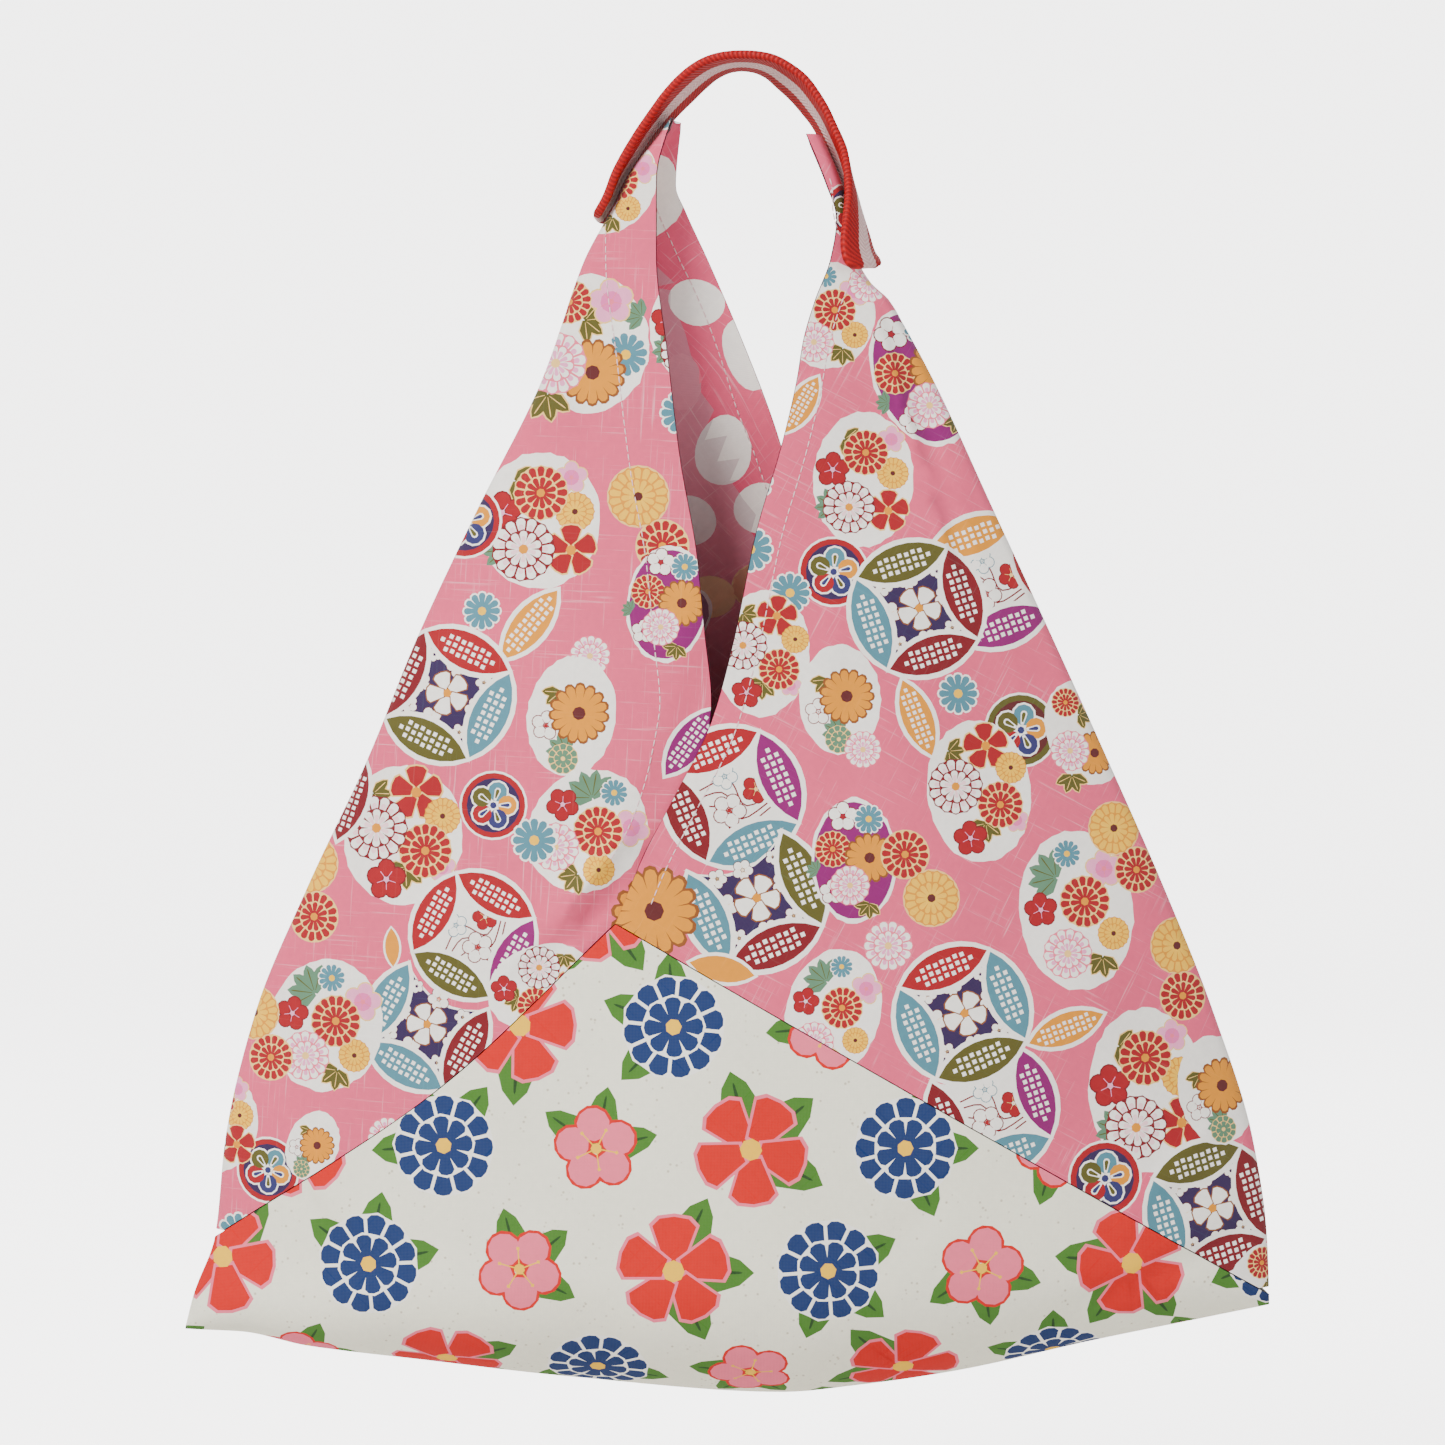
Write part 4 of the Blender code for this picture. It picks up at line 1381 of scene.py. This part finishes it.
def weave_group():
    """Plain weave with uneven threads: a height and a mask of thick pale threads."""
    inputs = [
        ("Vector", "NodeSocketVector", None),
        ("Pitch", "NodeSocketFloat", 0.5),
        ("Turn", "NodeSocketFloat", 0.0),
    ]
    tree, w, given, out = new_group("cloth_weave", inputs, [("Height", "NodeSocketFloat"), ("Slub", "NodeSocketFloat")])
    spin = w.add("ShaderNodeVectorRotate", rotation_type="Z_AXIS")
    w.feed(spin, Vector=given.outputs["Vector"], Angle=given.outputs["Turn"])
    parts = w.add("ShaderNodeSeparateXYZ")
    w.feed(parts, Vector=spin.outputs[0])
    rate = w.math("DIVIDE", 2000 * math.pi, given.outputs["Pitch"])
    warp = w.math("SINE", w.math("MULTIPLY", parts.outputs[0], rate))
    weft = w.math("SINE", w.math("MULTIPLY", parts.outputs[1], rate))
    slubs = []
    for stretch in ((26.0, 900.0, 0.0), (900.0, 26.0, 0.0)):
        scaled = w.add("ShaderNodeVectorMath", operation="MULTIPLY")
        w.feed(scaled, i0=spin.outputs[0], i1=stretch)
        slubs.append(w.noise(scaled.outputs[0], 1.0, 3.0, 0.6))
    slub = w.math("MAXIMUM", w.span(slubs[0], 0.60, 0.78), w.span(slubs[1], 0.60, 0.78))
    plain = w.math("MULTIPLY_ADD", w.math("MULTIPLY", warp, weft), 0.5, 0.5)
    w.feed(out, Height=w.math("MULTIPLY_ADD", slub, 0.8, plain), Slub=slub)
    return tree


def soften_group():
    """Gentle unevenness of dye and light over a cloth."""
    inputs = [("Color", "NodeSocketColor", None), ("Amount", "NodeSocketFloat", 0.1)]
    tree, w, given, out = new_group("cloth_unevenness", inputs, [("Color", "NodeSocketColor")])
    place = w.add("ShaderNodeTexCoord").outputs["Object"]
    broad = w.noise(place, 16.0, 3.0)
    fine = w.noise(place, 420.0, 2.0)
    both = w.math("MULTIPLY_ADD", w.math("SUBTRACT", fine, 0.5), 0.7, w.math("SUBTRACT", broad, 0.5))
    level = w.math("MULTIPLY_ADD", both, given.outputs["Amount"], 1.0)
    grey = w.add("ShaderNodeCombineColor")
    w.feed(grey, Red=level, Green=level, Blue=level)
    w.feed(out, Color=w.mix(1.0, given.outputs["Color"], grey.outputs[0], "MULTIPLY"))
    return tree


def shared(name, make):
    return bpy.data.node_groups.get(name) or make()


def fresh_material(name, roughness):
    """An empty material with a Principled shader, and its wiring."""
    material = bpy.data.materials.new(name)
    material.use_nodes = True
    tree = material.node_tree
    shader = tree.nodes["Principled BSDF"]
    shader.inputs["Roughness"].default_value = roughness
    shader.inputs["Specular IOR Level"].default_value = 0.25
    return material, Wiring(tree), shader


def use_group(w, tree, **inputs):
    node = w.add("ShaderNodeGroup", node_tree=tree)
    return w.feed(node, **inputs)


def bump(w, shader, height, strength, distance):
    node = w.add("ShaderNodeBump")
    w.feed(node, Height=height, Strength=strength, Distance=distance)
    w.feed(shader, Normal=node.outputs[0])


def printed_cotton(name, turn):
    """Pink cotton: the print in the mesh's paint layer over a slubby plain weave, with painted shade where the weave
    lies low.
    """
    material, w, shader = fresh_material(name, 0.88)
    paint = w.add("ShaderNodeAttribute", attribute_name="print")
    uv = w.add("ShaderNodeUVMap", uv_map="cloth").outputs[0]
    weave = use_group(w, shared("cloth_weave", weave_group), Vector=uv, Pitch=0.62, Turn=turn)
    ground = w.math("MULTIPLY_ADD", paint.outputs["Alpha"], 0.36, 0.05)
    pale = w.mix(w.math("MULTIPLY", weave.outputs["Slub"], ground), paint.outputs["Color"], (0.95, 0.78, 0.80, 1))
    # Painted shade: the base colour darkens towards brownish red where the weave's height is low, between the threads.
    dark = w.math("MULTIPLY", w.math("SUBTRACT", 1.0, weave.outputs["Height"]), 0.16)
    woven = w.mix(dark, pale, (0.35, 0.10, 0.14, 1))
    even = use_group(w, shared("cloth_unevenness", soften_group), Color=woven, Amount=0.20)
    w.feed(shader, Base_Color=even.outputs[0])
    bump(w, shader, weave.outputs["Height"], 0.35, 0.00012)
    shader.inputs["Sheen Weight"].default_value = 0.12
    shader.inputs["Sheen Roughness"].default_value = 0.5
    return material


def printed_canvas(name):
    """Cream canvas: plain weave with painted shade where it lies low, dark seed flecks and the print."""
    material, w, shader = fresh_material(name, 0.9)
    paint = w.add("ShaderNodeAttribute", attribute_name="print")
    uv = w.add("ShaderNodeUVMap", uv_map="cloth").outputs[0]
    weave = use_group(w, shared("cloth_weave", weave_group), Vector=uv, Pitch=0.8, Turn=0.78)
    cells = w.add("ShaderNodeTexVoronoi")
    w.feed(cells, Vector=uv, Scale=330.0)
    chance = w.noise(uv, 90.0, 0.0)
    fleck = w.math("MULTIPLY", w.span(cells.outputs["Distance"], 0.22, 0.10), w.span(chance, 0.50, 0.58))
    fleck = w.math("MULTIPLY", fleck, w.math("MULTIPLY", paint.outputs["Alpha"], 0.55))
    spotted = w.mix(fleck, paint.outputs["Color"], (0.33, 0.24, 0.13, 1))
    # Painted shade: the base colour darkens where the weave's height is low, between the threads.
    dark = w.math("MULTIPLY", w.math("SUBTRACT", 1.0, weave.outputs["Height"]), 0.10)
    woven = w.mix(dark, spotted, (0.30, 0.26, 0.20, 1))
    even = use_group(w, shared("cloth_unevenness", soften_group), Color=woven, Amount=0.14)
    w.feed(shader, Base_Color=even.outputs[0])
    bump(w, shader, weave.outputs["Height"], 0.4, 0.00014)
    return material


def woven_tape(name):
    """Handle tape: red ribbed borders and a pale middle stripe, each with painted shade in the grooves between its
    ribs. The map gives millimetres across and along.
    """
    material, w, shader = fresh_material(name, 0.55)
    uv = w.add("ShaderNodeUVMap", uv_map="cloth").outputs[0]
    parts = w.add("ShaderNodeSeparateXYZ")
    w.feed(parts, Vector=uv)
    across = w.math("ABSOLUTE", parts.outputs[0])
    ragged = w.math("MULTIPLY_ADD", w.math("SINE", w.math("MULTIPLY", parts.outputs[1], 3.6)), 0.00018 * 1000, 0.0)
    border = w.span(w.math("ADD", across, ragged), 4.0, 4.5)
    slant = w.math("ADD", w.math("MULTIPLY", across, 2.1), w.math("MULTIPLY", parts.outputs[1], 3.6))
    ribs = w.math("MULTIPLY_ADD", w.math("SINE", slant), 0.5, 0.5)
    threads = w.noise(uv, 1.6, 3.0, 0.6)
    # Painted shade: both stripes are darker where the ribs are low and lighter on their crests, following the same ribs
    # that feed the bump.
    red = w.mix(w.math("MULTIPLY", ribs, 0.55), (*colour(0.52, 0.01, 0.02), 1), (*colour(0.84, 0.03, 0.04), 1))
    pale = w.mix(w.math("MULTIPLY", ribs, 0.5), (*colour(0.86, 0.68, 0.68), 1), (*colour(0.97, 0.91, 0.88), 1))
    striped = w.mix(border, pale, red)
    shade = w.mix(w.math("MULTIPLY", threads, 0.22), striped, (0.20, 0.01, 0.01, 1))
    w.feed(shader, Base_Color=shade)
    bump(w, shader, w.math("MULTIPLY_ADD", threads, 0.5, ribs), 0.7, 0.0004)
    return material


def thread(name, paint):
    """Sewing thread: a plain twisted look."""
    material, w, shader = fresh_material(name, 0.6)
    place = w.add("ShaderNodeTexCoord").outputs["Object"]
    fine = w.noise(place, 1500.0, 1.0)
    w.feed(shader, Base_Color=w.mix(w.math("MULTIPLY", fine, 0.3), (*paint, 1), (0.45, 0.40, 0.38, 1)))
    return material


def handle_path(steps):
    """Middle line of the handle with its twist and cup, and the length along it."""
    stations = handle_stations()
    known = np.arange(len(stations))
    fine = np.linspace(0, len(stations) - 1, (len(stations) - 1) * steps + 1)
    path = np.stack([smooth(known, stations[:, i], fine) for i in range(5)], axis=1)
    run = np.concatenate([[0], np.cumsum(np.linalg.norm(np.diff(path[:, :3], axis=0), axis=1))])
    even = np.linspace(0, run[-1], 220)
    path = np.stack([np.interp(even, run, path[:, i]) for i in range(5)], axis=1)
    soft = path[:, :3].copy()
    for _ in range(4):
        soft[1:-1] = (soft[:-2] + 2 * soft[1:-1] + soft[2:]) / 4
    return soft, path[:, 3], path[:, 4], even


def handle_frame(middle, twist):
    """Directions across the handle and out of its outer face."""
    along = np.gradient(middle, axis=0)
    along /= np.linalg.norm(along, axis=1)[:, None]
    flat = np.array([0.0, 1.0, 0.0]) - along[:, 1:2] * along
    flat /= np.linalg.norm(flat, axis=1)[:, None]
    out = np.cross(along, flat)
    c, s = np.cos(np.radians(twist))[:, None], np.sin(np.radians(twist))[:, None]
    return along, c * flat + s * out, c * out - s * flat


def handle_mesh(name, corner):
    """The woven strip with softened edges and rounded corners at its ends."""
    middle, twist, cup, run = handle_path(8)
    along, across, out = handle_frame(middle, twist)
    shares = np.concatenate([[-0.5, -0.487, -0.46], np.linspace(-0.42, 0.42, 15), [0.46, 0.487, 0.5]])
    round_off = np.array([0.30, 0.72, 0.95] + [1.0] * 15 + [0.95, 0.72, 0.30])
    rings, marks = [], []
    total = run[-1]
    for i in range(len(middle)):
        near = min(run[i], total - run[i])
        inset = corner - math.sqrt(max(corner**2 - max(corner - near, 0) ** 2, 0))
        wide = HANDLE_WIDTH - 2 * inset
        thin = HANDLE_THICK / 2 * (0.55 + 0.45 * min(1, near / (1.6 * MM)) ** 0.5)
        angle = math.radians(max(cup[i], 1.0))
        radius = HANDLE_WIDTH / angle
        ring, mark = [], []
        for face in (1, -1):
            order = range(len(shares)) if face > 0 else range(len(shares))[::-1]
            for k in order:
                a = shares[k] * wide / HANDLE_WIDTH * angle
                lift = face * thin * round_off[k]
                ring.append(middle[i] + across[i] * (radius + lift) * math.sin(a) + out[i] * ((radius + lift) * math.cos(a) - radius))
                mark.append((shares[k] * wide * 1000, run[i] * 1000))
        rings.append(ring)
        marks.append(mark)
    count = len(rings[0])
    verts = [tuple(p) for ring in rings for p in ring]
    flat = [m for mark in marks for m in mark]
    faces = []
    for i in range(len(rings) - 1):
        for k in range(count):
            j = (k + 1) % count
            faces.append((i * count + k, (i + 1) * count + k, (i + 1) * count + j, i * count + j))
    faces.append(tuple(range(count)))
    faces.append(tuple(range((len(rings) - 1) * count, len(rings) * count))[::-1])
    mesh = bpy.data.meshes.new(name)
    mesh.from_pydata(verts, [], faces)
    mesh.shade_smooth()
    uv = mesh.uv_layers.new(name="cloth")
    for loop in mesh.loops:
        uv.data[loop.index].uv = flat[loop.vertex_index]
    return bpy.data.objects.new(name, mesh)


def stitches(places, normals, length, width, gap):
    """Short raised threads along a line on the cloth."""
    run = np.concatenate([[0], np.cumsum(np.linalg.norm(np.diff(places, axis=0), axis=1))])
    verts, faces = [], []
    start = gap
    while start + length < run[-1]:
        at = np.array([start, start + length * 0.5, start + length])
        mid = np.stack([np.interp(at, run, places[:, i]) for i in range(3)], axis=1)
        up = np.stack([np.interp(at, run, normals[:, i]) for i in range(3)], axis=1)
        way = mid[2] - mid[0]
        way /= np.linalg.norm(way)
        base = len(verts)
        for k, lift in enumerate((0.02, 0.32, 0.02)):
            side = np.cross(way, up[k])
            side /= np.linalg.norm(side)
            centre = mid[k] + up[k] * (lift * MM * 0.6)
            half = width / 2 * (1.0 if k == 1 else 0.75)
            for a in np.arange(6) * math.pi / 3:
                verts.append(tuple(centre + side * half * math.cos(a) + up[k] * 0.7 * half * math.sin(a)))
        for k in range(2):
            for a in range(6):
                b = (a + 1) % 6
                faces.append((base + k * 6 + a, base + k * 6 + b, base + k * 6 + 6 + b, base + k * 6 + 6 + a))
        faces.append(tuple(base + a for a in range(6))[::-1])
        faces.append(tuple(base + 12 + a for a in range(6)))
        start += length + gap
    return verts, faces


def solid_object(name, verts, faces, material):
    mesh = bpy.data.meshes.new(name)
    mesh.from_pydata([tuple(v) for v in verts], [], faces)
    mesh.shade_smooth()
    mesh.materials.append(material)
    return bpy.data.objects.new(name, mesh)


BODY = next(iter(frame["bodies"]))
HEM_WIDTH = 24 * MM
FACING_WIDTH = 20.8 * MM
MESH_STEP = 6 * MM


def add_piece(piece, node=None, material=None):
    """Shows a piece on the bag's body and hides the CAD node that it stands for."""
    bpy.context.scene.collection.objects.link(piece)
    if material is not None:
        piece.data.materials.append(material)
    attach(piece, BODY)
    if node is not None:
        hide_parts(node)
    return piece


def distance_to(line, points):
    """Distance of each point from a line of points."""
    nearest = np.full(len(points), 1.0)
    for a, b in zip(line[:-1], line[1:]):
        run = b - a
        share = np.clip(((points - a) @ run) / (run @ run), 0, 1)
        nearest = np.minimum(nearest, np.hypot(*(points - a - share[:, None] * run).T))
    return nearest


def free_edge(side, back, count=90):
    """One free edge of a panel on the chart, from the apex to the tip."""
    rows = panel_parts(side)[3 if back else 2]
    z = to_z(np.linspace(APEX["height"], TIPS[side], count))
    x = to_x(read(rows, "across", to_height(z)))
    if not back:
        return np.stack([x, z], axis=1)
    inward = 1 if side == "left" else -1
    return np.stack(unfold(side, inward * (x - side_x(side, z)), z), axis=1)


def beside(line, offset):
    """A line moved sideways by an offset, to the left of its way where that is positive."""
    way = np.gradient(line, axis=0)
    way /= np.linalg.norm(way, axis=1)[:, None]
    return line + offset * np.stack([-way[:, 1], way[:, 0]], axis=1)


def panel_wall(side):
    edges = [free_edge(side, False), free_edge(side, True)]

    def wall(points):
        near = np.minimum(distance_to(edges[0], points), distance_to(edges[1], points))
        return CLOTH + (HEM - CLOTH) * ease((HEM_WIDTH - near) / (3 * MM))

    return wall


def wrong_side(edges, amount, tint):
    """Makes the inside's paint: faded as on the wrong side of a print, but bright on the turned hem."""

    def wash(paint, centre):
        near = np.full(len(centre), 1.0)
        for edge in edges:
            near = np.minimum(near, distance_to(edge, centre))
        faded = paint.copy()
        faded[:, :3] = paint[:, :3] * (1 - amount) + np.array(tint) * amount
        return np.where((near < FACING_WIDTH)[:, None], paint, faded)

    return wash


class BagSettings(bpy.types.PropertyGroup):
    """Sizes and colours of the bag that a user may change."""

    mesh_step: bpy.props.FloatProperty(
        name="Cloth mesh", description="Spacing of the cloth's mesh points", default=MESH_STEP, min=0.002, unit="LENGTH"
    )
    stitch_length: bpy.props.FloatProperty(
        name="Stitch length", description="Length of one hem stitch", default=2.6 * MM, min=0.001, unit="LENGTH"
    )
    stitch_gap: bpy.props.FloatProperty(
        name="Stitch gap", description="Space between two stitches", default=0.9 * MM, min=0.0002, unit="LENGTH"
    )
    thread_width: bpy.props.FloatProperty(
        name="Thread width", description="Thickness of the sewing thread", default=0.5 * MM, min=0.0001, unit="LENGTH"
    )
    handle_corner: bpy.props.FloatProperty(
        name="Handle corner", description="Radius of the handle's corners", default=6 * MM, min=0.001, unit="LENGTH"
    )
    thread_colour: bpy.props.FloatVectorProperty(
        name="Thread colour", description="Colour of the hem stitches", default=colour(0.95, 0.80, 0.82), subtype="COLOR"
    )
    floor_colour: bpy.props.FloatVectorProperty(
        name="Floor colour", description="Colour of the plain floor", default=(0.80, 0.79, 0.77), subtype="COLOR"
    )


class BAG_OT_printed_panels(bpy.types.Operator):
    """Make the two pink printed cloths, folded at the bag's sides"""

    bl_idname = "bag.printed_panels"
    bl_label = "Printed panels"

    def execute(self, context):
        step = context.scene.bag_settings.mesh_step
        for side, layout, repeats, turn, seed in (
            ("left", LEFT_PRINT, LEFT_REPEAT, 0.05, 11),
            ("right", RIGHT_PRINT, RIGHT_REPEAT, 0.49, 23),
        ):
            shapes = pink_print(layout, repeats, np.random.default_rng(seed))
            wash = wrong_side([free_edge(side, False), free_edge(side, True)], 0.5, colour(0.72, 0.62, 0.66))
            piece = cloth_object(
                f"{side}_cloth",
                panel_outline(side),
                panel_lines(side),
                place_panel(side),
                panel_wall(side),
                broad_shapes(shapes, 3.6),
                [row for row in broad_shapes(shapes, 26) if row[1] not in ("navy", "red", "brown", "olive")],
                "ground",
                wash,
                step,
            )
            add_piece(piece, f"{side}_panel", printed_cotton(f"{side}_printed_cotton", turn))
            panel_outline(side)
        return {"FINISHED"}


class BAG_OT_canvas_base(bpy.types.Operator):
    """Make the cream canvas cloth under the bag"""

    bl_idname = "bag.canvas_base"
    bl_label = "Canvas base"

    def execute(self, context):
        step = context.scene.bag_settings.mesh_step
        shapes = canvas_print()
        piece = cloth_object(
            "base_cloth",
            base_outline(),
            base_lines(),
            place_base,
            lambda points: np.full(len(points), CLOTH),
            shapes,
            [],
            "canvas",
            wrong_side([], 0.3, colour(0.80, 0.77, 0.72)),
            step,
        )
        add_piece(piece, "base_panel", printed_canvas("base_canvas"))
        base_outline()
        return {"FINISHED"}


class BAG_OT_woven_handle(bpy.types.Operator):
    """Make the striped handle tape"""

    bl_idname = "bag.woven_handle"
    bl_label = "Woven handle"

    def execute(self, context):
        corner = context.scene.bag_settings.handle_corner
        piece = handle_mesh("handle_tape", corner)
        add_piece(piece, "handle_strap", woven_tape("woven_tape"))
        return {"FINISHED"}


# Rows of hem stitches: distance from the free edge in millimetres, and the wall's side that they show on
HEM_ROWS = (
    ("left_front_stitches", "left", False, 20.0, False),
    ("right_front_stitches", "right", False, 10.0, False),
    ("left_back_stitches", "left", True, 10.4, True),
    ("right_back_stitches", "right", True, 10.0, False),
)


class BAG_OT_hem_stitches(bpy.types.Operator):
    """Make the rows of stitches that hold the hems"""

    bl_idname = "bag.hem_stitches"
    bl_label = "Hem stitches"

    def execute(self, context):
        settings = context.scene.bag_settings
        material = thread("sewing_thread", tuple(settings.thread_colour))
        for name, side, back, offset, inner in HEM_ROWS:
            edge = free_edge(side, back)
            way = -1 if (side == "left") == back else 1
            line = beside(edge, way * offset * MM)[3:-4]
            place, normal = place_panel(side)(line)
            if inner:
                place, normal = place - normal * HEM, -normal
            verts, faces = stitches(
                place, normal, settings.stitch_length, settings.thread_width, settings.stitch_gap
            )
            add_piece(solid_object(name, verts, faces, material))
        return {"FINISHED"}


STAGE_RADIUS = 5.0
FLOOR_DROP = 70 * MM


class BAG_OT_stage(bpy.types.Operator):
    """Make the floor, the far backdrop, the lights and the camera"""

    bl_idname = "bag.stage"
    bl_label = "Stage"

    def execute(self, context):
        settings = context.scene.bag_settings
        floor = BOTTOM_Z - FLOOR_DROP
        rings = [(0.0, floor)]
        for a in np.linspace(0, math.pi / 2, 12):
            rings.append((STAGE_RADIUS - 1 + math.sin(a), floor + 1 - math.cos(a)))
        rings.append((STAGE_RADIUS, floor + 1.8))
        count = 96
        turn = np.linspace(0, 2 * math.pi, count, endpoint=False)
        verts = [(r * math.cos(a), r * math.sin(a), z) for r, z in rings[1:] for a in turn]
        faces = [tuple(range(count))]
        for i in range(len(rings) - 2):
            for k in range(count):
                j = (k + 1) % count
                faces.append((i * count + k, (i + 1) * count + k, (i + 1) * count + j, i * count + j))
        material, w, shader = fresh_material("plain_floor", 0.9)
        place = w.add("ShaderNodeTexCoord").outputs["Object"]
        tone = w.noise(place, 2.0, 2.0)
        base = np.array(settings.floor_colour)
        w.feed(shader, Base_Color=w.mix(tone, (*(base * 0.985), 1), (*(base * 1.015), 1)))
        sees = w.add("ShaderNodeLightPath").outputs["Is Camera Ray"]
        shader.inputs["Emission Color"].default_value = (1.0, 0.985, 0.985, 1)
        w.feed(shader, Emission_Strength=w.math("MULTIPLY", sees, 4.0))
        cove = solid_object("floor", verts, faces, material)
        context.scene.collection.objects.link(cove)
        aim = Vector((-0.0102, 0, -0.263))
        for name, spot, size, power, tint in (
            ("key_light", (-1.3, -1.5, 1.2), 1.1, 84, (1.0, 0.99, 0.97)),
            ("fill_light", (1.7, -1.5, 0.3), 1.6, 14, (0.98, 0.99, 1.0)),
            ("back_light", (0.3, 1.9, 1.2), 1.6, 26, (1.0, 1.0, 1.0)),
        ):
            light = bpy.data.lights.new(name, "AREA")
            light.shape = "DISK"
            light.size = size
            light.energy = power
            light.color = tint
            lamp = bpy.data.objects.new(name, light)
            lamp.location = spot
            lamp.rotation_euler = (aim - lamp.location).to_track_quat("-Z", "Y").to_euler()
            context.scene.collection.objects.link(lamp)
        world = bpy.data.worlds.new("studio")
        world.use_nodes = True
        world.node_tree.nodes["Background"].inputs["Color"].default_value = (0.97, 0.975, 1.0, 1)
        w = Wiring(world.node_tree)
        sees = w.add("ShaderNodeLightPath").outputs["Is Camera Ray"]
        w.feed(world.node_tree.nodes["Background"], Strength=w.math("MULTIPLY_ADD", sees, 4.0, 0.65))
        context.scene.world = world
        lens = bpy.data.cameras.new("photo_camera")
        lens.lens = 99.7
        lens.sensor_width = 36
        camera = bpy.data.objects.new("photo_camera", lens)
        camera.location = (-0.0102, -1.6, -0.263)
        camera.rotation_euler = (math.pi / 2, 0, 0)
        context.scene.collection.objects.link(camera)
        bpy.context.scene.camera = camera
        return {"FINISHED"}


OPERATORS = (
    BAG_OT_printed_panels,
    BAG_OT_canvas_base,
    BAG_OT_woven_handle,
    BAG_OT_hem_stitches,
    BAG_OT_stage,
)


class BAG_PT_sidebar(bpy.types.Panel):
    """Lists the bag's pieces and settings"""

    bl_idname = "BAG_PT_sidebar"
    bl_label = "Bento bag"
    bl_space_type = "VIEW_3D"
    bl_region_type = "UI"
    bl_category = "Bento bag"

    def draw(self, context):
        settings = context.scene.bag_settings
        for name in settings.bl_rna.properties.keys():
            if name not in ("rna_type", "name"):
                self.layout.prop(settings, name)
        for operator in OPERATORS:
            self.layout.operator(operator.bl_idname)


def register():
    for cls in (BagSettings, *OPERATORS, BAG_PT_sidebar):
        bpy.utils.register_class(cls)
    bpy.types.Scene.bag_settings = bpy.props.PointerProperty(type=BagSettings)


def unregister():
    del bpy.types.Scene.bag_settings
    for cls in (BAG_PT_sidebar, *OPERATORS[::-1], BagSettings):
        bpy.utils.unregister_class(cls)


def main():
    register()
    bpy.ops.bag.printed_panels()
    bpy.ops.bag.canvas_base()
    bpy.ops.bag.woven_handle()
    bpy.ops.bag.hem_stitches()
    bpy.ops.bag.stage()


if __name__ == "__main__":
    main()
